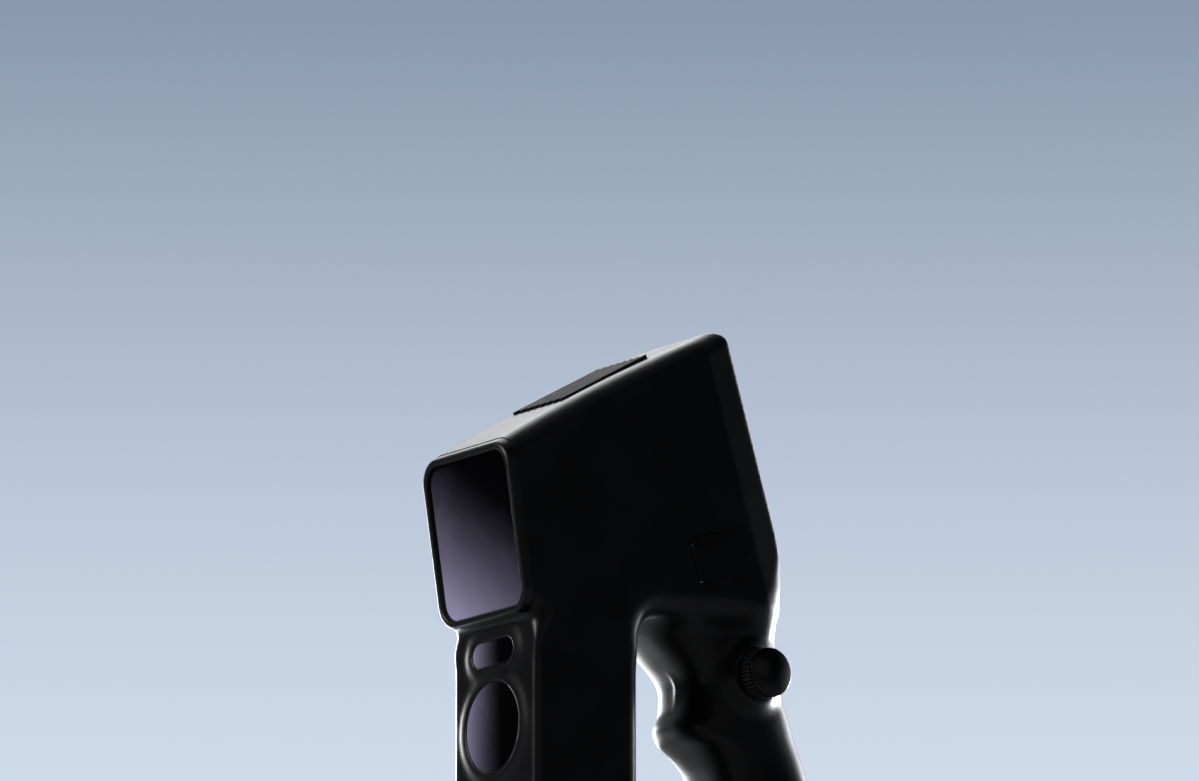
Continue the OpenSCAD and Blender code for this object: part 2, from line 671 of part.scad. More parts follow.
module fan_rotor() color("#1b1b1e") at_top() translate([0, 0, fan_z - fan_h]) {
    translate([0, 0, 0.2]) cylinder(r = 1 - run_gap, h = 1.6);
    translate([0, 0, 1.6]) cylinder(r = 6, h = 5.2);
    for (k = [0:blades - 1]) rotate(360 * k / blades) translate([5, 0, 4.2]) rotate([38, 0, 0])
        translate([0, -3, -0.4]) cube([fan_bore - 6.2, 6, 0.8]);
}

module display_glass() color("#08080a") at_rear(display_mid) translate([0, 0, -1.3]) linear_extrude(1.3)
    polygon(rr(display_w, display_l, 3.8));
module display_panel() color("#202225") at_rear(display_mid) translate([0, 0, -4.4]) {
    linear_extrude(3.1) polygon(rr(display_w - 4.6, display_l - 4.6, 2.2));
}

// Port block: flange inside the wall, connector carrier and the two ears that hold the hinge pin
flange_in = wall + 0.15;
port_lap = 1.2;
ear_l = 3.2;
ear_h = 2.4;
hinge_x = -port_l / 2 + knuckle_r;
hinge_z = -knuckle_r;
module port_ears(gap) {
    intersection() {
        polygon(rr(port_l, port_h, port_r));
        for (s = [-1, 1]) translate([-port_l / 2 + ear_l / 2, s * (port_h - ear_h) / 2])
            square([ear_l + 2 * gap, ear_h + 2 * gap], center = true);
    }
}
module port_block() color("#232327") at_port() difference() {
    union() {
        translate([0, 0, -flange_in - 1.4]) linear_extrude(1.4)
            polygon(rr(port_l + 2 * port_lap, port_h + 2 * port_lap, port_r + 1));
        translate([0, 0, -flange_in - 7]) linear_extrude(6) polygon(rr(port_l - 8, port_h - 3, 1.2));
        translate([0, 0, -flange_in - 0.1]) linear_extrude(flange_in) port_ears(0);
    }
    for (y = [-3.4, 3.4]) translate([2, y, -flange_in - 6]) linear_extrude(8) polygon(rr(8.9, 3.2, 1.5));
    translate([hinge_x, port_h / 2 - 0.6, hinge_z]) rotate([90, 0, 0])
        cylinder(r = pin_r + 0.02, h = port_h - 1.2);
}
module port_cover() color("#0b0b0c") at_port() difference() {
    union() {
        translate([0, 0, -port_t]) linear_extrude(port_t) difference() {
            polygon(rr(port_l, port_h, port_r));
            translate([-port_l / 2 - 1, -port_h]) square([knuckle_r + 1, 2 * port_h]);
            port_ears(port_gap);
        }
        translate([hinge_x, port_h / 2 - ear_h - port_gap, hinge_z]) rotate([90, 0, 0])
            cylinder(r = knuckle_r, h = port_h - 2 * ear_h - 2 * port_gap);
    }
    translate([hinge_x, port_h, hinge_z]) rotate([90, 0, 0]) cylinder(r = pin_r + run_gap, h = 2 * port_h);
    translate([port_l / 2 - 1.8, -3.5, -0.8]) cube([4, 7, 2]);
}
module hinge_pin() color("#b9babd") at_port() translate([hinge_x, port_h / 2 - 0.8, hinge_z])
    rotate([90, 0, 0]) cylinder(r = pin_r, h = port_h - 1.6);

// Dial: knurled knob and domed cap turning on a shaft that pushes into the grip
dial_x = boss_top + dial_throw + 0.4;
skirt_r = dial_r - 0.45;
dial_seat = 1.6;
dial_seat_r = skirt_r - 1.05;
cap_in = 0.3;
cap_rim = 0.6;
cap_bulge = 1.7;
module dial_knob() color("#1c1c20") at_dial() translate([0, 0, dial_x]) difference() {
    linear_extrude(dial_h) polygon([for (k = [0:dial_ridges - 1], s = [[0, 0], [0.3, 1], [0.7, 1]])
        let (a = 360 * (k + s[0]) / dial_ridges, r = skirt_r + s[1] * (dial_r - skirt_r))
        r * [cos(a), sin(a)]]);
    translate([0, 0, dial_h - dial_seat]) cylinder(r = dial_seat_r, h = 3);
    translate([0, 0, -1]) cylinder(r = stem_r + run_gap, h = dial_h + 2);
}
module dial_cap() color("#232328") at_dial() translate([0, 0, dial_x + dial_h]) {
    lens(dial_r - cap_in, cap_bulge, cap_rim);
    translate([0, 0, seat_gap - dial_seat]) cylinder(r = dial_seat_r - 0.1, h = dial_seat + 0.2);
}
module dial_shaft() color("#9fa1a5") at_dial() {
    translate([0, 0, 10]) cylinder(r = stem_r - run_gap, h = dial_x + dial_h - dial_seat - 0.1 - 10);
}
module dial_bushing() color("#3a3a3e") at_dial() translate([0, 0, 12]) difference() {
    cylinder(r = bush_r, h = boss_top - 12);
    translate([0, 0, -1]) cylinder(r = stem_r, h = boss_top);
}
module encoder() color("#39403b") at_dial() translate([0, 0, 4]) difference() {
    translate([-6.5, -6.5, 0]) cube([13, 13, 8]);
    translate([0, 0, 8 - 2 - dial_throw - 0.3]) cylinder(r = stem_r + 0.3, h = 6);
}

// Battery standing on the base cover, leaning with the grip
battery_w = 24;
battery_d = 26;
battery_l = 62;
battery_r = 4;
battery_back = 21;
module battery_pack() color("#3d5a80") translate([0, rear_y(base_h) - battery_back, base_h]) multmatrix([
    [1, 0, 0, 0], [0, 1, -tan(rake), 0], [0, 0, 1, 0]])
    linear_extrude(battery_l) polygon(rr(battery_w, battery_d, battery_r));

main_housing();
rear_housing();
base_cover();
base_pad();
base_screws();
tripod_bush();
window_frame();
projector_glass();
projector_module();
projector_lens();
camera_glass();
camera_module();
camera_lenses();
flash_glass();
flash_reflector();
flash_board();
flash_leds();
flash_camera();
foot_frame();
foot_glass();
foot_camera();
foot_lens();
optical_bench();
main_board();
heat_sink();
vent_grille();
fan_frame();
fan_rotor();
display_glass();
display_panel();
port_block();
port_cover();
hinge_pin();
dial_knob();
dial_cap();
dial_shaft();
dial_bushing();
encoder();
battery_pack();
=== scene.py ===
import json
import math

import bmesh
import bpy
import numpy as np
from bpy.props import FloatProperty, FloatVectorProperty, IntProperty, PointerProperty
from mathutils import Matrix, Vector


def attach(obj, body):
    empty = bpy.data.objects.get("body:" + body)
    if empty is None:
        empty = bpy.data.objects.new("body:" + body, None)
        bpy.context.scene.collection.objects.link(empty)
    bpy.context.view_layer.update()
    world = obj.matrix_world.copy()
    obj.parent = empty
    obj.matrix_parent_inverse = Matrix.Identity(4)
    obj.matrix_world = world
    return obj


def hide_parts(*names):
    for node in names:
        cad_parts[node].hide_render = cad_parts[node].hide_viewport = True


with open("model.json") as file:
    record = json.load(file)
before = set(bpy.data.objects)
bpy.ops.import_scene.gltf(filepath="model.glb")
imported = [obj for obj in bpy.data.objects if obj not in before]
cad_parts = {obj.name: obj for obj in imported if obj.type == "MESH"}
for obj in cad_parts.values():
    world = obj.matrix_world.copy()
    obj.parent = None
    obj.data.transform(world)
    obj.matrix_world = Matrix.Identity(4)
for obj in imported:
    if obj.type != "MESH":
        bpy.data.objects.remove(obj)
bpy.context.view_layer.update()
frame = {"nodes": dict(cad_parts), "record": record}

bl_info = {
    "name": "Handheld Scanner",
    "version": (1, 0, 0),
    "blender": (4, 5, 0),
    "location": "View3D > Sidebar > Scanner",
    "description": "Builds the visible pieces of a handheld 3-D scanner on its CAD frame",
    "category": "Object",
}

MM = 1000.0  # millimetres in a metre


def length(name, description, default):
    """A length property, in metres"""
    return FloatProperty(name=name, description=description, default=default, min=0.0,
                         subtype="DISTANCE", unit="LENGTH", precision=5)


def angle(name, description, degrees):
    """An angle property, given in degrees"""
    return FloatProperty(name=name, description=description, default=math.radians(degrees),
                         subtype="ANGLE", unit="ROTATION")


def number(name, description, default, least):
    """A whole-number property"""
    return IntProperty(name=name, description=description, default=default, min=least)


def tone(name, description, default):
    """A colour property"""
    return FloatVectorProperty(name=name, description=description, default=default, size=3,
                               min=0.0, max=1.0, subtype="COLOR")


class ScannerBody(bpy.types.PropertyGroup):
    """Sizes of the housings"""
    width: length("Width", "Width of the head, the foot and the base", 0.052)
    wall: length("Wall", "Wall of the moulded housings", 0.0024)
    column_edge: length("Column edge", "Rounding of the column's rear edges", 0.006)
    column_front_edge: length("Column front edge", "Rounding of the column's front edges", 0.0022)
    rake: angle("Rake", "Backward lean of the rear face and the grip", 17.0)
    head_height: length("Head height", "Height of the head's lower front edge", 0.1156)
    front_height: length("Front height", "Height of the front face along its slope", 0.0575)
    front_pitch: angle("Front pitch", "Downward pitch of the front face", 9.0)
    top_length: length("Top length", "Length of the sloping top", 0.1037)
    top_rise: angle("Top rise", "Rise of the sloping top", 29.1)
    rear_length: length("Rear length", "Length of the rear face", 0.1026)
    head_corner: length("Head corner", "Corner radius of the head", 0.0085)
    top_crown: length("Top crown", "Crown of the sloping top", 0.0014)
    cap_depth: length("Cap depth", "Depth of the rear housing behind the head's widest slice", 0.011)
    cap_draft: length("Cap draft", "How far the rear housing's sides draw in", 0.0015)
    seam: length("Seam", "Gap along the parting line", 0.0001)
    seam_back: length("Seam back", "Distance of the parting line behind the head's widest slice", 0.0003)
    column_depth: length("Column depth", "Depth of the column", 0.0435)
    column_inset: length("Column inset", "Inset of the column's sides from the head's", 0.0016)
    column_reach: length("Column reach", "Distance from the origin to the column's front", 0.0632)
    overhang: length("Overhang", "How far the head overhangs the column", 0.0044)
    arch: length("Arch", "Radius of the arches at both ends of the finger gap", 0.009)
    base_height: length("Base height", "Height of the base's upper face", 0.017)
    base_rear_width: length("Base rear width", "Width of the base at its rear end", 0.042)
    foot_height: length("Foot height", "Height of the lower window's frame", 0.040)
    floor_height: length("Floor height", "Underside of the housings", 0.0032)
    skin_step: length("Skin step", "Spacing of the points on the housings' skin", 0.001)


class ScannerWindows(bpy.types.PropertyGroup):
    """Sizes of the windows"""
    rim: length("Rim", "Width of the frame round the projector glass", 0.0024)
    drop: length("Drop", "Depth of the glass below its frame", 0.002)
    glass: length("Glass", "Thickness of every window glass", 0.0016)
    flash_height: length("Flash height", "Height of the round window's centre", 0.080)
    flash_radius: length("Flash radius", "Radius of the round glass", 0.0155)
    camera_height: length("Camera height", "Height of the pill window's centre", 0.1052)
    camera_width: length("Camera width", "Width of the pill glass", 0.024)
    camera_depth: length("Camera depth", "Height of the pill glass", 0.0085)
    surround: length("Surround", "Height of the raised surrounds", 0.001)
    surround_reach: length("Surround reach", "Reach of the raised surrounds beyond their lips", 0.0058)
    sink: length("Sink", "Depth of the glass below its raised surround", 0.0003)
    clear: length("Clear", "Gap round the glass and behind the frames", 0.0003)
    display_width: length("Display width", "Width of the display glass", 0.038)
    display_length: length("Display length", "Length of the display glass", 0.078)
    display_lift: length("Display lift", "Display's centre above the middle of the rear face", 0.003)


class ScannerControls(bpy.types.PropertyGroup):
    """Sizes of the vent, the dial and the port cover"""
    vent_width: length("Vent width", "Width of the vent grille", 0.030)
    vent_length: length("Vent length", "Length of the vent grille", 0.0405)
    vent_reach: length("Vent reach", "Grille's centre from the head's top front edge", 0.056)
    vent_fins: number("Vent fins", "Number of fins in the vent grille", 8, 3)
    fin_width: length("Fin width", "Width of one fin", 0.0013)
    dial_radius: length("Dial radius", "Radius of the dial over its ridges", 0.0085)
    dial_skirt: length("Dial skirt", "Height of the knurled skirt", 0.0062)
    dial_ridges: number("Dial ridges", "Ridges in one row of the knurl", 36, 8)
    dial_rows: number("Dial rows", "Rows of ridges in the knurl", 3, 1)
    dial_drop: length("Dial drop", "Drop of the dial's axis below the head's front edge", 0.0116)
    dial_back: length("Dial back", "Distance of the dial's axis from the rear plane", 0.0205)
    boss_top: length("Boss top", "Reach of the boss under the dial", 0.0213)
    port_length: length("Port length", "Length of the port cover", 0.024)
    port_height: length("Port height", "Height of the port cover", 0.018)
    port_up: length("Port up", "Cover's centre above the rear plane's low end", 0.0233)
    port_margin: length("Port margin", "Distance of the cover from the head's widest slice", 0.0022)


class ScannerFinish(bpy.types.PropertyGroup):
    """Colours of the finishes"""
    housing: tone("Housing", "Soft-touch housing", (0.0044, 0.0044, 0.0050))
    trim: tone("Trim", "Window frames and base", (0.0040, 0.0040, 0.0045))
    grille: tone("Grille", "Vent grille", (0.016, 0.016, 0.018))
    cover: tone("Cover", "Port cover", (0.0042, 0.0042, 0.0048))
    dial: tone("Dial", "Dial knob and cap", (0.0036, 0.0036, 0.0041))
    rubber: tone("Rubber", "Base pad", (0.012, 0.012, 0.012))
    # Lavender of the painted reflection on the window glass, brightest towards one corner
    painted_lavender: tone("Coating", "Painted_lavender_reflection of the window glass", (0.60, 0.55, 0.81))


class ScannerStage(bpy.types.PropertyGroup):
    """Camera, floor and light"""
    azimuth: angle("Azimuth", "Camera's bearing from the front towards the dial side", 55.25)
    elevation: angle("Elevation", "Camera's height above the horizon", -12.2)
    distance: length("Distance", "Camera's distance", 2.6)
    frame_width: length("Frame width", "Width that the picture covers at the object", 0.39967)
    target: FloatVectorProperty(name="Target", description="Point in the middle of the picture", size=3,
                                default=(0.0399, -0.0481, 0.18975), subtype="XYZ", unit="LENGTH")
    floor: tone("Floor", "Pale floor", (0.80, 0.81, 0.83))
    horizon: tone("Horizon", "Background at the horizon", (0.66, 0.75, 0.87))
    zenith: tone("Zenith", "Background overhead", (0.15, 0.21, 0.31))
    ambient: FloatProperty(name="Ambient", description="Share of the background that lights the object",
                           default=0.28, min=0.0, max=1.0)
    glow: FloatVectorProperty(name="Glow", description="Where gloss sees the background brightest", size=3,
                              default=(-0.45, 0.89, 0.0), subtype="DIRECTION")


# Fits and roundings that belong together, in millimetres
LEDGE = 0.4  # thickness of the ledge that a framed pane lies on
SLACK = 0.02  # gap that keeps touching faces apart
AHEAD = 12.0  # how far head and foot run past their faces before the window seats are cut
FRONT_FILLET = 3.4  # fillet from the column's front to the head and to the foot
BASE_FILLET = 0.4  # fillet from the column's front to the base
COLUMN_TUCK = 20.0  # how far the column runs up into the head
FOOT_DEPTH = 12.0  # how far the foot reaches behind the column's front
TAPER_LENGTH = 70.0  # length over which the base draws in towards its rear end
TAPER_POWER = 2.2  # how late along that length it draws in
WAIST = 60.0  # height that parts the base from the head
HEAD_FROM = 100.0  # height above which the head's rear edges are rounded apart
REAR_PROUD = 0.5  # how far the head's rounded rear stands behind its flat
REAR_EDGE = 5.0  # rounding of the head's rear edges, low down
TOP_EDGE = 7.0  # rounding of the head's rear edges, at the top
BASE_EDGE = 4.5  # rounding of the base's upper edges
BASE_END = 12.0  # plan radius of the base's rear corners
REAR_CORNERS = ((116, 24), (124, 19), (134, 9), (145, 2.6), (152, 1.2))  # height, plan radius at the head
GRIP_SLIM = 0.97  # width of the grip, as a share of its stations
GRIP_FRONT = 0.96  # depth of the grip's front half, as a share of its stations
FRONT_POWER = 3.2  # squareness of the grip's section in front, where 2 is an ellipse
BACK_POWER = 2.7  # squareness of its section at the back
GRIP_FILLET = 6.0  # fillet from the grip to the plate, twice as wide under the head's rear
BOSS_RADIUS = 9.4  # radius of the dial's boss at its top
BOSS_FLARE = 0.45  # how fast the boss widens downwards
BOSS_STEEP = 0.912  # cosine of the boss's flank
BOSS_EDGE = 0.8  # rounding of the boss's rim
BOSS_FROM = 4.0  # where the boss starts, inside the grip
BOSS_FILLET = 4.5  # fillet round the boss
PORT_CORNER = 2.8  # corner radius of the port cover
PORT_GAP = 0.35  # gap round the port cover
SPILL = 4.0  # how far below the origin the skin runs before the floor is cut
POLE_FLAT = 0.02  # radius of the small flat at the pole of a turned shape

# Stretches over which one rounding passes into another, in millimetres
FRONT_TO_REAR = (-48, -36)  # backwards through the column, for the fillets
EDGE_TO_REAR = (-52, -34)  # backwards through the column, for its upright edges
HEAD_FLARE = (98, 115)  # up the column, for the head's width
FOOT_FLARE = (50, 38)  # down the column, for the foot's width
HEAD_EDGE = (106, 120)  # up the column, for the head's corners
FOOT_EDGE = (46, 36)  # down the column, for the foot's corners
FOOT_EDGE_AHEAD = (-40, -58)  # forwards, for the foot's corners
BASE_EDGE_DOWN = (24, 12)  # down the base, for its edges
BASE_EDGE_BACK = (-30, -10)  # backwards, for the base's edges
CORNER_UP = (10, 60)  # up the head's rear, for its edges
CORNER_BACK = (-32, -8)  # towards the head's rear, for its edges
NECK_BACK = (22, 38)  # backwards, for the wider fillet under the head
NECK_UP = (92, 104)  # upwards, for the wider fillet under the head

# Grip stations: height, depth in front of the rear plane, back swell, half width, in millimetres
GRIP_FROM_HEAD = (
    (15, 60, -4, 21), (10.5, 59, -2.4, 21), (6.5, 56.6, -1.2, 20.6), (2.4, 53.2, 0.2, 19.8),
    (-1.6, 50, 1.6, 19.1), (-5.6, 46.9, 1.2, 18.5), (-9.6, 43.8, -0.4, 18), (-13.6, 42.2, -1.5, 17.8),
    (-18.6, 43.3, -1.8, 17.7), (-23.6, 45.6, -1.3, 17.8), (-26.6, 48, -1, 17.9), (-28.6, 49.3, -0.9, 18),
    (-30.6, 49.4, -0.8, 18), (-33.6, 48, -0.7, 18.1), (-36.6, 44, -0.6, 18.2), (-40.6, 40.9, -0.5, 18.3),
    (-46.6, 39.2, -0.5, 18.5), (-55.6, 38.6, -0.6, 18.7))
GRIP_FROM_BASE = (
    (31, 38.9, 0, 18.7), (19, 39.4, 0, 18.4), (10, 40.2, 0, 18.3), (5, 41.8, 0, 18.6), (1.5, 45, 0, 19.6),
    (-4, 54, 0, 20.6))


def slope(radians):
    """Directions along a slope and out of it, in side view"""
    along = np.array([math.cos(radians), math.sin(radians)])
    return along, np.array([-along[1], along[0]])


class Places:
    """The scanner's sizes in millimetres, and its side-view points, planes and local frames"""

    def __init__(self, scene):
        for group in (scene.scanner_body, scene.scanner_windows, scene.scanner_controls):
            for name in group.__annotations__:
                is_length = group.bl_rna.properties[name].unit == "LENGTH"
                setattr(self, name, getattr(group, name) * (MM if is_length else 1))
        self.half = self.width / 2
        self.column_half = self.half - self.column_inset
        self.base_rear_half = self.base_rear_width / 2
        self.column_front = -self.column_reach
        self.column_back = self.column_front + self.column_depth
        along_top, self.out_top = slope(self.top_rise)
        self.out_rear, self.up_rear = slope(self.rake)
        up_front, up_foot = slope(self.front_pitch)[1], slope(-self.front_pitch)[1]
        self.front_low = np.array([self.column_front - self.overhang, self.head_height])
        self.front_top = self.front_low + self.front_height * up_front
        self.rear_top = self.front_top + self.top_length * along_top
        self.rear_low = self.rear_top - self.rear_length * self.up_rear
        top, low = self.rear_top - self.front_top, self.rear_low - self.front_low
        self.slice_top = self.rear_top - top * self.cap_depth / (top @ self.out_rear)
        self.slice_low = self.rear_low - low * self.cap_depth / (low @ self.out_rear)
        self.pane_front = self.drop - LEDGE / 2
        self.frame_depth = self.pane_front + self.glass + LEDGE
        self.foot_z = (self.floor_height + self.foot_height * math.cos(self.front_pitch)
                       + self.frame_depth * math.sin(self.front_pitch) + self.clear)
        self.foot_top = np.array([self.column_front - self.overhang, self.foot_z])
        self.foot_low = self.foot_top - self.foot_height * up_foot
        self.dial_z = self.head_height - self.dial_drop
        self.dial_y = self.rear_y(self.dial_z) - self.dial_back
        self.port_mid = (self.slice_low + self.port_up * self.up_rear
                         - (self.port_length / 2 + self.port_margin) * self.out_rear)
        share = self.vent_reach / np.linalg.norm(self.slice_top - self.front_top)
        self.vent_mid = (self.front_top + (self.slice_top - self.front_top) * share
                         + self.crown(share) * self.out_top)
        self.display_mid = (self.rear_top + self.rear_low) / 2 + self.display_lift * self.up_rear

    def rear_y(self, z):
        """Place of the raked rear plane at a height"""
        return self.rear_top[0] + (self.rear_top[1] - z) * math.tan(self.rake)

    def crown(self, share):
        """Rise of the crowned top at a share of its length"""
        return 4 * self.top_crown * share * (1 - share)

    def on(self, yz, *turns, x=0.0):
        """Local frame at a side-view point, from turns about X, Y or Z"""
        m = Matrix.Translation((x, yz[0], yz[1]))
        for radians, axis in turns:
            m = m @ Matrix.Rotation(radians, 4, axis)
        return np.array(m)

    def front(self):
        """Frame on the front face: Z out, Y up the face"""
        return self.on((self.front_low + self.front_top) / 2, (math.pi / 2 + self.front_pitch, "X"))

    def foot(self):
        """Frame on the foot's pitched face"""
        return self.on((self.foot_top + self.foot_low) / 2, (math.pi / 2 - self.front_pitch, "X"))

    def rear(self):
        """Frame on the rear face at the display"""
        return self.on(self.display_mid, (math.pi / 2 + self.rake, "X"), (math.pi, "Y"))

    def top(self):
        """Frame on the sloping top at the vent"""
        return self.on(self.vent_mid, (self.top_rise, "X"))

    def port(self):
        """Frame on the dial side at the port cover"""
        return self.on(self.port_mid, (self.rake, "X"), (math.pi / 2, "Z"), (math.pi / 2, "X"), x=self.half)

    def dial(self):
        """Frame on the dial's axis, Z out of the dial side"""
        return self.on((self.dial_y, self.dial_z), (math.pi / 2, "Y"))

    def column(self, z, x=0.0):
        """Frame on the column's front face at a height"""
        return self.on((self.column_front, z), (math.pi / 2, "X"), x=x)

    def parting(self, shift):
        """Frame on the parting plane, moved back by shift, Y pointing backwards"""
        return self.on(self.slice_top + (self.seam_back + shift) * self.out_rear, (self.rake, "X"))


def round_join(a, b, r):
    """Union of two distances with a round fillet"""
    return np.maximum(r, np.minimum(a, b)) - np.hypot(np.maximum(r - a, 0), np.maximum(r - b, 0))


def round_meet(a, b, r):
    """Intersection of two distances with a rounded edge"""
    return np.minimum(-r, np.maximum(a, b)) + np.hypot(np.maximum(r + a, 0), np.maximum(r + b, 0))


def ease(low, high, v):
    """Smooth step from 0 at low to 1 at high"""
    t = np.clip((v - low) / (high - low), 0, 1)
    return t * t * (3 - 2 * t)


def station_curves(p):
    """Height table of the grip's depth, swell and half width, as smooth curves through the stations"""
    rows = [(p.head_height + s[0], *s[1:]) for s in GRIP_FROM_HEAD]
    rows += [(p.base_height + s[0], *s[1:]) for s in GRIP_FROM_BASE]
    rows = np.array(sorted(rows))
    z = rows[:, 0]
    fine = np.linspace(z[0], z[-1], 600)
    k = np.clip(np.searchsorted(z, fine) - 1, 0, len(z) - 2)
    h = z[k + 1] - z[k]
    t = (fine - z[k]) / h
    columns = []
    for v in rows.T[1:]:
        rate = np.gradient(v, z)
        columns.append(v[k] * (1 + 2 * t) * (1 - t) ** 2 + rate[k] * h * t * (1 - t) ** 2
                       + v[k + 1] * t * t * (3 - 2 * t) + rate[k + 1] * h * t * t * (t - 1))
    return fine, columns


def head_band(p, y, z):
    """Distances over the head's top, under its underside and past its rear, and the half width there"""
    mid_front, mid_slice = (p.front_low + p.front_top) / 2, (p.slice_low + p.slice_top) / 2
    axis = mid_slice - mid_front
    low_d, top_d = p.slice_low - p.front_low, p.slice_top - p.front_top
    rounds, first, last, furthest = 4, -0.3, 1.05, 1.2

    def chord(t):
        """Lower end of the head's slice at a share of its length, and the way from there to its top"""
        ly, lz = p.front_low[0] + t * low_d[0], p.front_low[1] + t * low_d[1]
        dy = p.front_top[0] + t * top_d[0] + p.crown(t) * p.out_top[0] - ly
        dz = p.front_top[1] + t * top_d[1] + p.crown(t) * p.out_top[1] - lz
        return ly, lz, dy, dz

    t = ((y - mid_front[0]) * axis[0] + (z - mid_front[1]) * axis[1]) / (axis @ axis)
    for _ in range(rounds):
        ly, lz, dy, dz = chord(t)
        bend = 4 * p.top_crown * (1 - 2 * t)
        gap = dy * (z - lz) - dz * (y - ly)
        rate = ((top_d[0] - low_d[0] + bend * p.out_top[0]) * (z - lz)
                - (top_d[1] - low_d[1] + bend * p.out_top[1]) * (y - ly)
                - dy * low_d[1] + dz * low_d[0])
        t = np.clip(t - gap / rate, first, last)
    ly, lz, dy, dz = chord(t)
    h = np.hypot(dy, dz)
    v = ((y - ly) * dy + (z - lz) * dz) / h
    behind = (y - p.slice_top[0]) * p.out_rear[0] + (z - p.slice_top[1]) * p.out_rear[1]
    q = (y - p.slice_low[0]) * p.up_rear[0] + (z - p.slice_low[1]) * p.up_rear[1]
    s = np.clip(behind / p.cap_depth, 0, furthest)
    q_low = ((p.rear_low - p.slice_low) @ p.up_rear) * s
    q_top = (p.slice_top - p.slice_low) @ p.up_rear + ((p.rear_top - p.slice_top) @ p.up_rear) * s
    above = np.where(behind > 0, q - q_top, v - h)
    below = np.where(behind > 0, q_low - q, -v)
    return above, below, behind - p.cap_depth, p.half - p.cap_draft * s


def plate_form(p, x, y, z):
    """Distance to the head, column, foot and base, one flat-sided plate with rounded edges"""
    above, below, past, head_half = head_band(p, y, z)
    front_out, foot_out = -slope(p.front_pitch)[0], -slope(-p.front_pitch)[0]
    front = (y - p.front_low[0]) * front_out[0] + (z - p.front_low[1]) * front_out[1]
    foot = (y - p.foot_top[0]) * foot_out[0] + (z - p.foot_top[1]) * foot_out[1]
    head = np.maximum(np.maximum(above, below), front - AHEAD)
    column = np.maximum(np.maximum(p.column_front - y, y - p.column_back), z - p.head_height - COLUMN_TUCK)
    base = np.maximum(z - p.base_height, foot - AHEAD)
    toe = np.maximum(np.maximum(foot - AHEAD, z - p.foot_z), y - p.column_front - FOOT_DEPTH)
    rearward = ease(*FRONT_TO_REAR, y)
    side = round_join(head, column, FRONT_FILLET + (p.arch - FRONT_FILLET) * rearward)
    side = round_join(side, base, BASE_FILLET + (p.arch - BASE_FILLET) * rearward)
    side = round_join(side, toe, FRONT_FILLET)
    taper = np.clip((y - p.column_back - p.arch) / TAPER_LENGTH, 0, 1) ** TAPER_POWER
    low_half = p.half - (p.half - p.base_rear_half) * taper
    flare = np.maximum(ease(*HEAD_FLARE, z), ease(*FOOT_FLARE, z))
    column_half = p.column_half + (p.half - p.column_half) * flare
    half = np.minimum(np.where(z < WAIST, low_half, head_half), column_half)
    upright = p.column_front_edge + (p.column_edge - p.column_front_edge) * ease(*EDGE_TO_REAR, y)
    ends = np.maximum(ease(*HEAD_EDGE, z), ease(*FOOT_EDGE, z) * ease(*FOOT_EDGE_AHEAD, y))
    edge = upright + (p.head_corner - upright) * ends
    edge = edge - (edge - BASE_EDGE) * ease(*BASE_EDGE_DOWN, z) * ease(*BASE_EDGE_BACK, y)
    in_head = z > HEAD_FROM
    past = past - REAR_PROUD * in_head
    corner = REAR_EDGE + (TOP_EDGE - REAR_EDGE) * ease(*CORNER_UP, above - below)
    edge = edge + (corner - edge) * ease(*CORNER_BACK, past) * in_head
    plan = np.where(z < WAIST, BASE_END, np.interp(z, *zip(*REAR_CORNERS)))
    return round_meet(side, round_meet(x - half, past, plan), edge)


def grip_form(p, curves, x, y, z):
    """Distance to the raked grip, lofted through its stations and squarer in front than at the back"""
    heights, columns = curves
    tiny = 1e-4
    depth, swell, a = (np.interp(z, heights, c) for c in columns)
    a = GRIP_SLIM * a
    mid, deep = p.rear_y(z) + (swell - depth) / 2, (depth + swell) / 2
    in_front = y < mid
    deep = np.where(in_front, GRIP_FRONT * deep, deep)
    power = np.where(in_front, FRONT_POWER, BACK_POWER)
    share = ((x / a) ** power + np.abs((y - mid) / deep) ** power) ** (1 / power)
    across = np.hypot(x, y - mid)
    grip = np.where(share > tiny, across * (1 - 1 / np.maximum(share, tiny)), -np.minimum(a, deep))
    return np.maximum(grip, np.maximum(z - heights[-1], heights[0] - z))


def boss_form(p, x, y, z):
    """Distance to the cone under the dial, on the dial side only"""
    spread = np.hypot(y - p.dial_y, z - p.dial_z)
    cone = (spread - (BOSS_RADIUS + (p.boss_top - x) * BOSS_FLARE)) * BOSS_STEEP
    return np.maximum(round_meet(cone, x - p.boss_top, BOSS_EDGE), BOSS_FROM - x)


def body_form(p, boss=True):
    """Distance function of the scanner's outside, for points in millimetres"""
    curves = station_curves(p)

    def distance(points):
        """Plate and grip are the same on both sides, the boss is not"""
        x, y, z = points[:, 0], points[:, 1], points[:, 2]
        fillet = GRIP_FILLET + GRIP_FILLET * ease(*NECK_BACK, y) * ease(*NECK_UP, z)
        shape = round_join(plate_form(p, np.abs(x), y, z), grip_form(p, curves, np.abs(x), y, z), fillet)
        if boss:
            shape = round_join(shape, boss_form(p, x, y, z), BOSS_FILLET)
        return np.maximum(shape, -SPILL - z)

    return distance


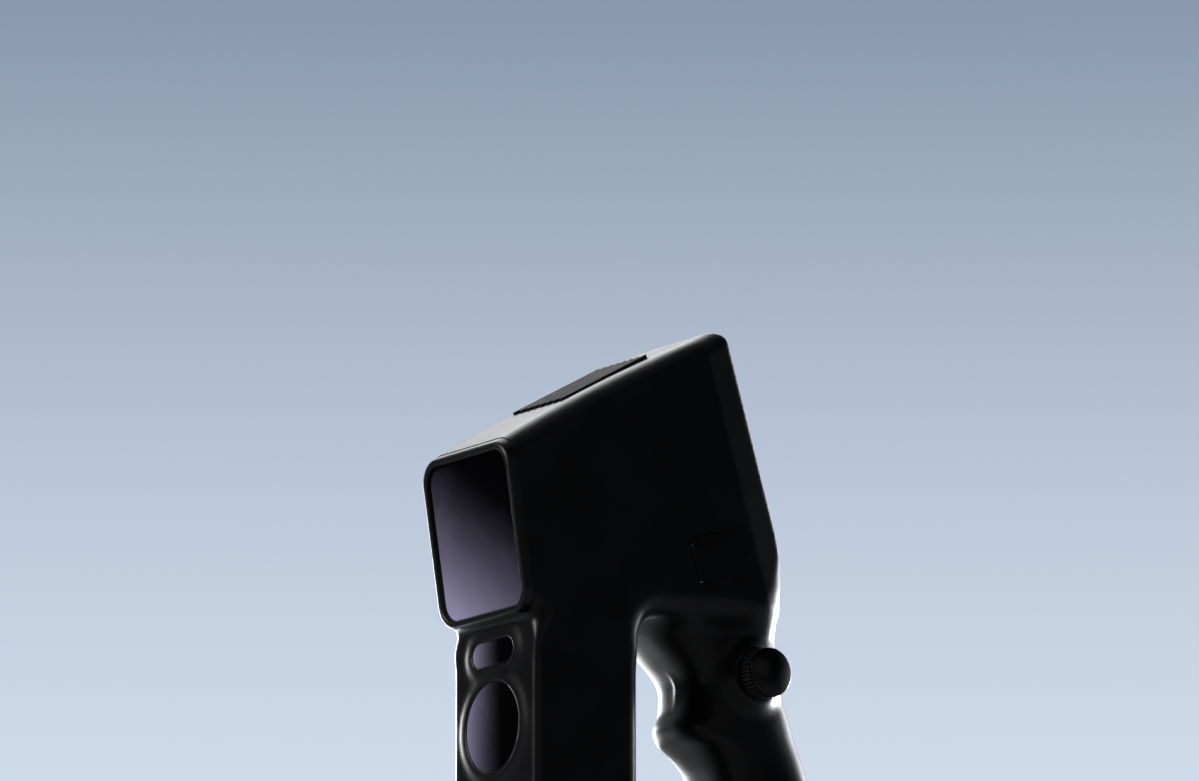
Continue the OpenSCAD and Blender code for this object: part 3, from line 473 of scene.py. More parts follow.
def window_surrounds(p):
    """Distance function of the raised surrounds on the column's front: a flat lip and an S-shaped flank"""
    lip, root = 1.0, 2.0
    tall, reach = p.surround, p.surround_reach
    pill_r = p.camera_depth / 2
    pill_x = p.camera_width / 2 - pill_r

    def distance(points):
        """Ring and pill are measured from the ends of their lips"""
        x, y, z = np.abs(points[:, 0]), points[:, 1], points[:, 2]
        out = p.column_front - y
        ring = np.hypot(x, z - p.flash_height) - p.flash_radius - lip
        pill = np.hypot(np.maximum(x - pill_x, 0), z - p.camera_height) - pill_r - lip
        away = np.minimum(ring, pill)
        share = math.pi * np.clip(away / reach, 0, 1)
        rise = tall * (1 + np.cos(share)) / 2
        fall = tall * np.sin(share) * math.pi / (2 * reach)
        flank = (out - rise) / np.sqrt(1 + fall ** 2)
        return np.maximum(np.maximum(flank, away - reach), -out - root)

    return distance


def drawn_in(distance, points, furthest):
    """Points moved onto the zero level of a distance function, in rounds of limited length"""
    rounds, probe, least_steep = 5, 0.04, 0.05
    for _ in range(rounds):
        value = distance(points)
        steep = np.empty_like(points)
        for axis, e in enumerate(probe * np.eye(3)):
            steep[:, axis] = (distance(points + e) - distance(points - e)) / (2 * probe)
        move = -(value / np.maximum((steep ** 2).sum(1), least_steep))[:, None] * steep
        reach = np.maximum(np.abs(move).max(1), 1e-9)
        points = points + move * np.minimum(1, furthest / reach)[:, None]
    return points


def skin(distance, low, high, step):
    """Points and four-sided faces on the zero level of a distance function"""
    axes = [np.arange(a - step, b + 2 * step, step) for a, b in zip(low, high)]
    n = [len(a) for a in axes]
    field = np.empty(n, np.float32)
    for i, value in enumerate(axes[0]):
        yy, zz = np.meshgrid(axes[1], axes[2], indexing="ij")
        flat = np.column_stack([np.full(yy.size, value), yy.ravel(), zz.ravel()])
        field[i] = distance(flat).reshape(n[1], n[2])
    inside = field < 0
    shifts = [(a, b, c) for a in (0, 1) for b in (0, 1) for c in (0, 1)]
    filled = sum(inside[a:n[0] - 1 + a, b:n[1] - 1 + b, c:n[2] - 1 + c].astype(np.int8) for a, b, c in shifts)
    cells = np.argwhere((filled > 0) & (filled < 8))
    index = np.full(filled.shape, -1, np.int64)
    index[tuple(cells.T)] = np.arange(len(cells))
    values = np.stack([field[cells[:, 0] + a, cells[:, 1] + b, cells[:, 2] + c] for a, b, c in shifts], 1)
    total, hits = np.zeros((len(cells), 3)), np.zeros(len(cells))
    for i in range(8):
        for j in range(i + 1, 8):
            step_ij = np.array(shifts[j]) - np.array(shifts[i])
            if np.abs(step_ij).sum() != 1:
                continue
            cross = (values[:, i] < 0) != (values[:, j] < 0)
            t = values[cross, i] / (values[cross, i] - values[cross, j])
            total[cross] += np.array(shifts[i]) + t[:, None] * step_ij
            hits[cross] += 1
    points = np.array([a[0] for a in axes]) + step * (cells + total / hits[:, None])
    faces = []
    for axis in range(3):
        u, w = (axis + 1) % 3, (axis + 2) % 3
        first = [slice(None)] * 3
        second = [slice(None)] * 3
        first[axis], second[axis] = slice(0, n[axis] - 1), slice(1, n[axis])
        changes = np.argwhere(inside[tuple(first)] != inside[tuple(second)])
        corners = []
        for du, dw in ((-1, -1), (0, -1), (0, 0), (-1, 0)):
            c = changes.copy()
            c[:, u] += du
            c[:, w] += dw
            corners.append(index[tuple(c.T)])
        quad = np.stack(corners, 1)
        flip = ~inside[tuple(changes.T)]
        quad[flip] = quad[flip][:, ::-1]
        faces.append(quad)
    return drawn_in(distance, points, furthest=0.4 * step), np.concatenate(faces)


def new_mesh(name, points, faces):
    """Mesh from points in millimetres"""
    mesh = bpy.data.meshes.new(name)
    points = np.asarray(points, float) / MM
    mesh.from_pydata(points.tolist(), [], [tuple(int(i) for i in f) for f in faces])
    mesh.validate()
    mesh.update()
    return mesh


def placed(points, place):
    """Points moved by a local frame"""
    points = np.asarray(points, float)
    return points @ place[:3, :3].T + place[:3, 3]


def rounded_rectangle(w, h, r, n=8):
    """Outline of a rounded rectangle round the origin"""
    out = []
    for cx, cy, start in ((1, 1, 0), (-1, 1, 90), (-1, -1, 180), (1, -1, 270)):
        for k in range(n + 1):
            a = math.radians(start + 90 * k / n)
            out.append((cx * (w / 2 - r) + r * math.cos(a), cy * (h / 2 - r) + r * math.sin(a)))
    return np.array(out)


def circle(r, n=96):
    """Outline of a circle round the origin"""
    a = np.arange(n) * 2 * math.pi / n
    return np.column_stack([r * np.cos(a), r * np.sin(a)])


def raised(outline, z):
    """Flat outline lifted to a height"""
    return np.column_stack([outline, np.full(len(outline), z)])


def rings_faces(rings, count, closed):
    """Faces through rings of equal point counts, with end caps or joined end to end"""
    faces = []
    for i in range(rings if closed else rings - 1):
        j = (i + 1) % rings
        for a in range(count):
            b = (a + 1) % count
            faces.append((i * count + a, i * count + b, j * count + b, j * count + a))
    if not closed:
        faces.append(tuple(range(count - 1, -1, -1)))
        faces.append(tuple((rings - 1) * count + a for a in range(count)))
    return faces


def stacked(name, rings, place, closed=False):
    """Mesh through rings given in a local frame"""
    points = placed(np.concatenate(rings), place)
    mesh = new_mesh(name, points, rings_faces(len(rings), len(rings[0]), closed))
    outward(mesh)
    return mesh


def turned(name, profile, place, n=96):
    """Mesh of a profile of (radius, height) pairs turned about the local Z"""
    return stacked(name, [raised(circle(max(r, POLE_FLAT), n), z) for r, z in profile], place)


def outward(mesh):
    """Turns the faces of a closed mesh outwards"""
    bm = bmesh.new()
    bm.from_mesh(mesh)
    bmesh.ops.recalc_face_normals(bm, faces=bm.faces)
    bm.to_mesh(mesh)
    bm.free()


def arc(cx, cy, r, start, end, n):
    """Points of an arc, in degrees"""
    return [(cx + r * math.cos(math.radians(start + (end - start) * k / n)),
             cy + r * math.sin(math.radians(start + (end - start) * k / n))) for k in range(n + 1)]


def prism(name, outline, low, high, place):
    """Straight solid on an outline, used to cut with"""
    return stacked(name, [raised(outline, low), raised(outline, high)], place)


def slab(name, low, high, place):
    """Box between two local corners, used to cut with"""
    w, h = high[0] - low[0], high[1] - low[1]
    mid = np.array([(low[0] + high[0]) / 2, (low[1] + high[1]) / 2])
    outline = np.array([(w / 2, h / 2), (-w / 2, h / 2), (-w / 2, -h / 2), (w / 2, -h / 2)]) + mid
    return prism(name, outline, low[2], high[2], place)


def carve(mesh, tool, operation="DIFFERENCE"):
    """The mesh with the tool's solid taken off, or only what lies inside it"""
    scene = bpy.context.scene
    work, cutter = bpy.data.objects.new("carved", mesh), bpy.data.objects.new("tool", tool)
    for o in (work, cutter):
        scene.collection.objects.link(o)
    modifier = work.modifiers.new("cut", "BOOLEAN")
    modifier.operation, modifier.solver, modifier.object = operation, "MANIFOLD", cutter
    bpy.context.view_layer.update()
    result = bpy.data.meshes.new_from_object(work.evaluated_get(bpy.context.evaluated_depsgraph_get()))
    for o in (work, cutter):
        bpy.data.objects.remove(o)
    bpy.data.meshes.remove(mesh)
    bpy.data.meshes.remove(tool)
    if not result.polygons:
        raise RuntimeError("a cut left nothing of the housing")
    return result


def finish_of(slot_name):
    """The material made for a slot"""
    return bpy.data.materials["scanner_" + slot_name]


def finish_piece(name, mesh, body, nodes, slot_name, sharp=35.0):
    """Object of a finished piece: shaded, painted, riding on its body in place of its CAD nodes"""
    mesh.materials.clear()
    mesh.materials.append(finish_of(slot_name))
    mesh.shade_smooth()
    mesh.set_sharp_from_angle(angle=math.radians(sharp))
    piece = bpy.data.objects.new(name, mesh)
    bpy.context.scene.collection.objects.link(piece)
    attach(piece, body)
    if nodes:
        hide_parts(*nodes)
    return piece


class Tree:
    """Adds and links nodes in a node tree"""

    def __init__(self, tree):
        self.tree = tree

    def add(self, kind, settings=None, **sockets):
        """A node with its settings, and its input sockets set or linked by name or number"""
        node = self.tree.nodes.new(kind)
        for key, value in (settings or {}).items():
            setattr(node, key, value)
        for key, value in sockets.items():
            self.feed(node, key, value)
        return node

    def feed(self, node, key, value):
        """Sets or links one input socket; an underscore stands for a space, and i0 for the first socket"""
        if key[0] == "i" and key[1:].isdigit():
            socket = node.inputs[int(key[1:])]
        else:
            socket = node.inputs[key.replace("_", " ")]
        if isinstance(value, bpy.types.NodeSocket):
            self.tree.links.new(value, socket)
        else:
            socket.default_value = value

    def math(self, operation, a, b=0.0, clamp=False):
        """Output of a Math node"""
        return self.add("ShaderNodeMath", {"operation": operation, "use_clamp": clamp}, i0=a, i1=b).outputs[0]

    def blend(self, share, a, b):
        """Output of a colour Mix node"""
        node = self.add("ShaderNodeMix", {"data_type": "RGBA"})
        self.feed(node, "i0", share)
        self.feed(node, "i6", a if isinstance(a, bpy.types.NodeSocket) else (*a, 1.0))
        self.feed(node, "i7", b if isinstance(b, bpy.types.NodeSocket) else (*b, 1.0))
        return node.outputs[2]

    def span(self, value, low, high, to_low, to_high):
        """Output of a Map Range node, clamped and smooth"""
        node = self.add("ShaderNodeMapRange", {"interpolation_type": "SMOOTHSTEP"})
        for i, v in enumerate((value, low, high, to_low, to_high)):
            self.feed(node, f"i{i}", v)
        return node.outputs[0]


def shader_group(name, inputs, outputs):
    """Empty shader group with float sockets, and the tree helper and end nodes to fill it with"""
    group = bpy.data.node_groups.new(name, "ShaderNodeTree")
    for label, default in inputs:
        socket = group.interface.new_socket(label, in_out="INPUT", socket_type="NodeSocketFloat")
        socket.default_value = default
    for label in outputs:
        group.interface.new_socket(label, in_out="OUTPUT", socket_type="NodeSocketFloat")
    t = Tree(group)
    return t, t.add("NodeGroupInput").outputs, t.add("NodeGroupOutput")


def mould_grain_group():
    """Fine spark-eroded grain of moulded plastic, with its slow change of tone"""
    t, given, out = shader_group("Mould Grain", (("Scale", 2600.0), ("Coarse", 0.35)), ("Height", "Tone"))
    place = t.add("ShaderNodeTexCoord").outputs["Object"]
    fine = t.add("ShaderNodeTexNoise", Vector=place, Scale=given["Scale"], Detail=2.5, Roughness=0.65)
    pits = t.add("ShaderNodeTexVoronoi", {"feature": "SMOOTH_F1"}, Vector=place,
                 Scale=t.math("MULTIPLY", given["Scale"], 0.55), Smoothness=0.35)
    pitted = t.math("MULTIPLY", pits.outputs[0], given["Coarse"])
    t.feed(out, "Height", t.math("ADD", fine.outputs[0], pitted))
    slow = t.add("ShaderNodeTexNoise", Vector=place, Scale=48.0, Detail=3.0, Roughness=0.55)
    t.feed(out, "Tone", t.span(slow.outputs[0], 0.32, 0.68, 0.0, 1.0))
    return t.tree


def handling_group():
    """Marks of use: broad rubbed patches, faint smears and scattered dust"""
    sizes = (("Rub size", 30.0), ("Dust size", 900.0))
    t, given, out = shader_group("Handling", sizes, ("Rub", "Smear", "Dust"))
    place = t.add("ShaderNodeTexCoord").outputs["Object"]
    broad = t.add("ShaderNodeTexNoise", Vector=place, Scale=given["Rub size"], Detail=4.0, Roughness=0.6)
    t.feed(out, "Rub", t.span(broad.outputs[0], 0.45, 0.72, 0.0, 1.0))
    drawn = t.add("ShaderNodeMapping", Vector=place, Rotation=(0.4, 0.9, 0.2), Scale=(1.0, 5.0, 1.4))
    streak = t.add("ShaderNodeTexNoise", Vector=drawn.outputs[0], Scale=70.0, Detail=5.0, Roughness=0.6)
    t.feed(out, "Smear", t.span(streak.outputs[0], 0.5, 0.75, 0.0, 1.0))
    speck = t.add("ShaderNodeTexVoronoi", Vector=place, Scale=given["Dust size"], Randomness=1.0)
    some = t.add("ShaderNodeTexNoise", Vector=place, Scale=220.0, Detail=2.0)
    specks = t.span(speck.outputs["Distance"], 0.14, 0.06, 0.0, 1.0)
    t.feed(out, "Dust", t.math("MULTIPLY", specks, t.span(some.outputs[0], 0.56, 0.66, 0.0, 1.0)))
    return t.tree


def tool_marks_group():
    """Fine parallel marks of a turned or milled metal face"""
    t, given, out = shader_group("Tool Marks", (("Scale", 2400.0),), ("Height", "Tone"))
    place = t.add("ShaderNodeTexCoord").outputs["Object"]
    drawn = t.add("ShaderNodeMapping", Vector=place, Scale=(1.0, 0.06, 1.0))
    lines = t.add("ShaderNodeTexNoise", Vector=drawn.outputs[0], Scale=given["Scale"], Detail=3.0,
                  Roughness=0.6)
    t.feed(out, "Height", lines.outputs[0])
    slow = t.add("ShaderNodeTexNoise", Vector=place, Scale=90.0, Detail=3.0)
    t.feed(out, "Tone", t.span(slow.outputs[0], 0.35, 0.65, 0.0, 1.0))
    return t.tree


class Finishes:
    """The scanner's materials, each made once and kept by its slot name"""

    def __init__(self, colours):
        self.colours = colours
        self.grain = mould_grain_group()
        self.handling = handling_group()
        self.marks = tool_marks_group()
        self.made = {}

    def start(self, name):
        """New material with a Principled shader, as a tree helper and the shader node"""
        m = bpy.data.materials.new("scanner_" + name)
        m.use_nodes = True
        t = Tree(m.node_tree)
        self.made[name] = m
        return t, m.node_tree.nodes["Principled BSDF"]

    def group(self, t, tree, **sockets):
        """Places a shader group"""
        node = t.add("ShaderNodeGroup", {"node_tree": tree})
        for key, value in sockets.items():
            t.feed(node, key, value)
        return node.outputs

    def moulded(self, name, colour, rough, grain_scale, grain_depth, specular,
                rub=0.06, dust=0.0, edge=0.0, lift=0.004, sheen=0.0):
        """Moulded plastic or rubber: grain, tone, rubbed patches, dust, and paler points where marked: worn
        edges on the housings, painted highlight on the dial's ridges
        """
        t, shader = self.start(name)
        grain = self.group(t, self.grain, Scale=grain_scale)
        use = self.group(t, self.handling)
        dark, pale = tuple(0.82 * c for c in colour), tuple(1.22 * c for c in colour)
        shade = t.blend(grain["Tone"], dark, pale)
        shade = t.blend(t.math("MULTIPLY", use["Dust"], dust), shade, (0.16, 0.16, 0.165))
        roughness = t.math("SUBTRACT", rough, t.math("MULTIPLY", use["Rub"], rub))
        uneven = t.math("MULTIPLY", t.math("SUBTRACT", grain["Tone"], 0.5), 0.05)
        roughness = t.math("ADD", roughness, uneven)
        # Marked points turn paler and glossier: real wear on the housings' edges, painted highlight on the
        # dial's ridges
        if edge:
            mark = t.add("ShaderNodeAttribute", {"attribute_name": "edge"}).outputs["Fac"]
            shade = t.blend(t.math("MULTIPLY", mark, edge), shade, tuple(2.1 * c + lift for c in colour))
            roughness = t.math("SUBTRACT", roughness, t.math("MULTIPLY", mark, 0.1 * edge))
        bump = t.add("ShaderNodeBump", Height=grain["Height"], Strength=0.55, Distance=grain_depth)
        t.feed(shader, "Base_Color", shade)
        t.feed(shader, "Roughness", roughness)
        t.feed(shader, "Normal", bump.outputs[0])
        t.feed(shader, "Specular_IOR_Level", specular)
        t.feed(shader, "Sheen_Weight", sheen)
        t.feed(shader, "Sheen_Roughness", 0.35)

    def metal(self, name, colour, rough, scale):
        """Turned or milled metal"""
        t, shader = self.start(name)
        marks = self.group(t, self.marks, Scale=scale)
        use = self.group(t, self.handling)
        t.feed(shader, "Base_Color", t.blend(marks["Tone"], tuple(0.86 * c for c in colour), colour))
        t.feed(shader, "Roughness", t.math("ADD", rough, t.math("MULTIPLY", use["Smear"], 0.08)))
        bump = t.add("ShaderNodeBump", Height=marks["Height"], Strength=0.3, Distance=0.00002)
        t.feed(shader, "Normal", bump.outputs[0])
        t.feed(shader, "Metallic", 1.0)

    def glass(self, name, colour, tint, ior, smear):
        """Coated lens glass with faint smears"""
        t, shader = self.start(name)
        use = self.group(t, self.handling)
        smeared = t.math("MULTIPLY", use["Smear"], 0.3)
        t.feed(shader, "Base_Color", t.blend(smeared, colour, tuple(0.8 * c for c in colour)))
        t.feed(shader, "Roughness", t.math("ADD", 0.03, t.math("MULTIPLY", use["Smear"], smear)))
        t.feed(shader, "Transmission_Weight", 1.0)
        t.feed(shader, "IOR", ior)
        t.feed(shader, "Specular_Tint", (*tint, 1.0))

    def pane(self, name, colour, tint):
        """Dark window glass with a painted reflection of its lavender coating, strongest where the mesh marks
        it
        """
        t, shader = self.start(name)
        use = self.group(t, self.handling, Rub_size=42.0)
        # Painted reflection: lavender where the mesh's mark is high, near black where it is low, with a faint
        # cloud
        mark = t.add("ShaderNodeAttribute", {"attribute_name": "painted_reflection"}).outputs["Fac"]
        cloud = t.math("MULTIPLY", t.math("SUBTRACT", use["Rub"], 0.4), 0.05)
        share = t.math("POWER", t.math("ADD", mark, cloud, clamp=True), 2.4)
        share = t.math("MULTIPLY", share, t.math("SUBTRACT", 1.0, t.math("MULTIPLY", use["Smear"], 0.06)))
        t.feed(shader, "Base_Color", t.blend(share, (0.0015, 0.0015, 0.002), colour))
        t.feed(shader, "Roughness", t.math("ADD", 0.035, t.math("MULTIPLY", use["Smear"], 0.05)))
        t.feed(shader, "Transmission_Weight", 0.3)
        t.feed(shader, "IOR", 1.5)
        t.feed(shader, "Specular_IOR_Level", 0.3)
        t.feed(shader, "Specular_Tint", (*tint, 1.0))

    def circuit(self, name, colour):
        """Solder resist with copper tracks showing through"""
        t, shader = self.start(name)
        place = t.add("ShaderNodeTexCoord").outputs["Object"]
        cells = t.add("ShaderNodeTexVoronoi", {"feature": "DISTANCE_TO_EDGE"}, Vector=place, Scale=420.0,
                      Randomness=0.7)
        tracks = t.span(cells.outputs["Distance"], 0.05, 0.09, 1.0, 0.0)
        grain = self.group(t, self.grain, Scale=1500.0)
        t.feed(shader, "Base_Color", t.blend(tracks, colour, tuple(1.9 * c + 0.01 for c in colour)))
        t.feed(shader, "Roughness", t.math("ADD", 0.32, t.math("MULTIPLY", grain["Tone"], 0.12)))
        bump = t.add("ShaderNodeBump", Height=tracks, Strength=0.4, Distance=0.00004)
        t.feed(shader, "Normal", bump.outputs[0])

    def make(self):
        """Every finish of the scanner"""
        c = self.colours
        # Roughness, scale and depth of the grain, specular level
        self.moulded("soft_black", tuple(c.housing), 0.32, 2600.0, 0.00003, 0.2,
                     rub=0.015, dust=0.015, edge=0.3, sheen=0.2)
        self.moulded("black_plastic", tuple(c.trim), 0.4, 3200.0, 0.00004, 0.3)
        self.moulded("grille_grey", tuple(c.grille), 0.5, 3000.0, 0.00005, 0.4)
        self.moulded("cover_black", tuple(c.cover), 0.32, 3000.0, 0.00003, 0.18, rub=0.015)
        # The dial's ridges are all marked, so they come out much paler than its cap: partly the dial's own
        # paler colour, partly painted highlight on the knurl
        self.moulded("dial_black", tuple(c.dial), 0.27, 3400.0, 0.00003, 0.25, edge=1.0, lift=0.03)
        self.moulded("pad_rubber", tuple(c.rubber), 0.82, 1700.0, 0.00012, 0.25, dust=0.35)
        self.moulded("module_black", (0.016, 0.016, 0.018), 0.5, 2400.0, 0.00005, 0.4)
        self.moulded("battery_blue", (0.05, 0.1, 0.2), 0.4, 900.0, 0.00003, 0.45)
        self.moulded("led_yellow", (0.78, 0.70, 0.36), 0.55, 4200.0, 0.00003, 0.45)
        self.pane("window_glass", tuple(c.painted_lavender), (0.85, 0.8, 1.0))
        self.glass("lens_glass", (0.55, 0.5, 0.85), (0.6, 0.5, 1.0), 1.75, 0.02)
        self.circuit("board_green", (0.012, 0.07, 0.035))
        # Roughness, scale of the tool marks
        self.metal("reflector", (0.82, 0.82, 0.84), 0.16, 900.0)
        self.metal("aluminium", (0.6, 0.6, 0.62), 0.36, 1600.0)
        self.metal("steel", (0.55, 0.55, 0.56), 0.28, 2600.0)
        self.metal("bush_brass", (0.7, 0.52, 0.24), 0.26, 2600.0)
        self.moulded("display_glass", (0.006, 0.006, 0.0075), 0.08, 5200.0, 0.000002, 0.5, rub=-0.05)
        return self.made


def pattern_tree(name, inputs):
    """Empty geometry tree with named inputs, and the tree helper and end nodes to fill it with"""
    group = bpy.data.node_groups.new(name, "GeometryNodeTree")
    group.is_modifier = True
    group.interface.new_socket("Geometry", in_out="INPUT", socket_type="NodeSocketGeometry")
    for label, kind in inputs:
        group.interface.new_socket(label, in_out="INPUT", socket_type="NodeSocket" + kind)
    group.interface.new_socket("Geometry", in_out="OUTPUT", socket_type="NodeSocketGeometry")
    t = Tree(group)
    return t, t.add("NodeGroupInput").outputs, t.add("NodeGroupOutput")


def pattern_end(t, out, geometry, material):
    """Ends a geometry tree: real copies, painted"""
    real = t.add("GeometryNodeRealizeInstances", Geometry=geometry)
    painted = t.add("GeometryNodeSetMaterial", Geometry=real.outputs[0], Material=material)
    t.feed(out, "Geometry", painted.outputs[0])
    return t.tree


def grown(tree, values, points=()):
    """Plain mesh that a geometry tree makes from its named values, in metres"""
    start = bpy.data.meshes.new("start")
    start.from_pydata([tuple(p) for p in points], [], [])
    o = bpy.data.objects.new("grown", start)
    bpy.context.scene.collection.objects.link(o)
    modifier = o.modifiers.new("pattern", "NODES")
    modifier.node_group = tree
    for item in tree.interface.items_tree:
        if item.item_type == "SOCKET" and item.in_out == "INPUT" and item.name in values:
            modifier[item.identifier] = values[item.name]
    bpy.context.view_layer.update()
    mesh = bpy.data.meshes.new_from_object(o.evaluated_get(bpy.context.evaluated_depsgraph_get()))
    bpy.data.objects.remove(o)
    bpy.data.meshes.remove(start)
    if not mesh.polygons:
        raise RuntimeError("the pattern " + tree.name + " made nothing")
    return mesh


def in_metres(place, lift):
    """A local frame in millimetres, lifted along its Z, as a matrix in metres"""
    m = Matrix(place.tolist())
    m.translation = m.translation / MM
    return m @ Matrix.Translation((0, 0, lift / MM))


def joined(name, meshes):
    """One mesh from several"""
    bm = bmesh.new()
    for m in meshes:
        bm.from_mesh(m)
        bpy.data.meshes.remove(m)
    mesh = bpy.data.meshes.new(name)
    bm.to_mesh(mesh)
    bm.free()
    return mesh


def rounded_bar(t, width, depth, height, rounding, axis):
    """Geometry of a bar along an axis with rounded long edges"""
    profile = t.add("GeometryNodeCurvePrimitiveQuadrilateral", Width=width, Height=depth)
    smooth = t.add("GeometryNodeFilletCurve", {"mode": "POLY"}, Curve=profile.outputs[0], Radius=rounding,
                   Count=4)
    half = t.math("MULTIPLY", height, 0.5)
    back = t.math("MULTIPLY", height, -0.5)
    low = t.add("ShaderNodeCombineXYZ", **{axis: back})
    high = t.add("ShaderNodeCombineXYZ", **{axis: half})
    line = t.add("GeometryNodeCurvePrimitiveLine", Start=low.outputs[0], End=high.outputs[0])
    return t.add("GeometryNodeCurveToMesh", Curve=line.outputs[0], Profile_Curve=smooth.outputs[0],
                 Fill_Caps=True).outputs[0]


def vent_fins_tree():
    """Row of lengthwise fins"""
    t, given, out = pattern_tree("Vent Fins", (
        ("Fins", "Int"), ("Pitch", "Float"), ("Length", "Float"), ("Width", "Float"), ("Height", "Float"),
        ("Rounding", "Float"), ("Material", "Material")))
    fin = rounded_bar(t, given["Width"], given["Height"], given["Length"], given["Rounding"], "Y")
    gaps = t.math("SUBTRACT", given["Fins"], 1.0)
    first = t.math("MULTIPLY", t.math("MULTIPLY", gaps, given["Pitch"]), -0.5)
    row = t.add("GeometryNodeMeshLine", Count=given["Fins"],
                Start_Location=t.add("ShaderNodeCombineXYZ", X=first).outputs[0],
                Offset=t.add("ShaderNodeCombineXYZ", X=given["Pitch"]).outputs[0])
    fins = t.add("GeometryNodeInstanceOnPoints", Points=row.outputs[0], Instance=fin)
    return pattern_end(t, out, fins.outputs[0], given["Material"])


def ring_of(t, count, radius, instance):
    """Copies of an instance round the Z axis, each turned to face outwards"""
    spots = t.add("GeometryNodeMeshCircle", Vertices=count, Radius=radius)
    share = t.math("DIVIDE", t.add("GeometryNodeInputIndex").outputs[0], count)
    turn = t.add("ShaderNodeCombineXYZ", Z=t.math("MULTIPLY", share, 2 * math.pi))
    return t.add("GeometryNodeInstanceOnPoints", Points=spots.outputs[0], Instance=instance,
                 Rotation=turn.outputs[0]).outputs[0]


def dial_knurl_tree():
    """Rows of short ridges round the dial's skirt"""
    t, given, out = pattern_tree("Dial Knurl", (
        ("Ridges", "Int"), ("Rows", "Int"), ("Radius", "Float"), ("Row pitch", "Float"), ("Width", "Float"),
        ("Depth", "Float"), ("Height", "Float"), ("Rounding", "Float"), ("Material", "Material")))
    ridge = rounded_bar(t, given["Depth"], given["Width"], given["Height"], given["Rounding"], "Z")
    ring = t.add("GeometryNodeRealizeInstances", Geometry=ring_of(t, given["Ridges"], given["Radius"], ridge))
    rows = t.add("GeometryNodeMeshLine", Count=given["Rows"],
                 Offset=t.add("ShaderNodeCombineXYZ", Z=given["Row pitch"]).outputs[0])
    stack = t.add("GeometryNodeInstanceOnPoints", Points=rows.outputs[0], Instance=ring.outputs[0])
    return pattern_end(t, out, stack.outputs[0], given["Material"])


def led_ring_tree():
    """Ring of light-emitting diodes, each a package with a domed lens"""
    t, given, out = pattern_tree("Flash Ring", (
        ("Lights", "Int"), ("Radius", "Float"), ("Package", "Float"), ("Height", "Float"), ("Dome", "Float"),
        ("Material", "Material")))
    package = rounded_bar(t, given["Package"], given["Package"], given["Height"],
                          t.math("MULTIPLY", given["Package"], 0.12), "Z")
    ball = t.add("GeometryNodeMeshUVSphere", Segments=20, Rings=10, Radius=given["Dome"])
    lift = t.add("ShaderNodeCombineXYZ", Z=t.math("MULTIPLY", given["Height"], 0.45))
    flat = t.add("GeometryNodeTransform", Geometry=ball.outputs[0], Translation=lift.outputs[0],
                 Scale=(1, 1, 0.45))
    light = t.add("GeometryNodeJoinGeometry")
    t.tree.links.new(package, light.inputs[0])
    t.tree.links.new(flat.outputs[0], light.inputs[0])
    ring = ring_of(t, given["Lights"], given["Radius"], light.outputs[0])
    return pattern_end(t, out, ring, given["Material"])


def screws_tree():
    """Copies of one screw at the points of the base mesh"""
    t, given, out = pattern_tree("Screws On Points", (("Screw", "Object"), ("Material", "Material")))
    screw = t.add("GeometryNodeObjectInfo", Object=given["Screw"])
    copies = t.add("GeometryNodeInstanceOnPoints", Points=given["Geometry"],
                   Instance=screw.outputs["Geometry"])
    return pattern_end(t, out, copies.outputs[0], given["Material"])


def mark_points(mesh, name, values):
    """Stores a value at each point of a mesh, for its finish to read"""
    mesh.attributes.new(name, "FLOAT", "POINT").data.foreach_set("value", values.astype(np.float32))


def mark_edges(mesh, distance):
    """Marks how sharply the outside bends outwards at each point, for the wear on the housings' edges"""
    points = np.empty(len(mesh.vertices) * 3, np.float32)
    mesh.vertices.foreach_get("co", points)
    points = points.reshape(-1, 3).astype(float) * MM
    reach, flat, sharp, skin_deep = 1.4, 0.10, 0.35, 0.2
    middle = distance(points)
    bend = -6 * middle
    for e in reach * np.eye(3):
        bend += distance(points + e) + distance(points - e)
    edge = np.clip((bend / reach ** 2 - flat) / (sharp - flat), 0, 1) * (np.abs(middle) < skin_deep)
    mark_points(mesh, "edge", edge)


def pill_outline(p, grow=0.0):
    """Outline of the pill window, grown by a distance"""
    w, h = p.camera_width + 2 * grow, p.camera_depth + 2 * grow
    half_flat = 0.01
    return rounded_rectangle(w, h, h / 2 - half_flat, 16)


def dome(r, bulge, base, radii):
    """Profile of a spherical dome over a circle of radius r, at the given radii"""
    sphere = (r * r + bulge * bulge) / (2 * bulge)
    return [(x, base + bulge - sphere + math.sqrt(sphere * sphere - x * x)) for x in radii]


def lens(name, r, bulge, rim, base, place):
    """Lens with a domed front on a rim, its rear edge broken"""
    broken = 0.2
    profile = [(r - broken, base), (r, base + broken)]
    profile += dome(r, bulge, base + rim, r * np.cos(np.linspace(0, math.pi / 2, 16)))
    return turned(name, profile, place, 64)


class ScannerOperator:
    """What the building operators share"""
    bl_options = {"REGISTER", "UNDO"}

    def done(self, pieces):
        """Reports how many pieces were made"""
        if not pieces:
            raise RuntimeError(self.bl_label + " made nothing")
        self.report({"INFO"}, f"{self.bl_label}: {len(pieces)} made")
        return {"FINISHED"}


class SCANNER_OT_finishes(ScannerOperator, bpy.types.Operator):
    """Mixes the plastics, glass, metal and rubber of the scanner"""
    bl_idname = "scanner.finishes"
    bl_label = "Finishes"

    def execute(self, context):
        return self.done(Finishes(context.scene.scanner_finish).make())


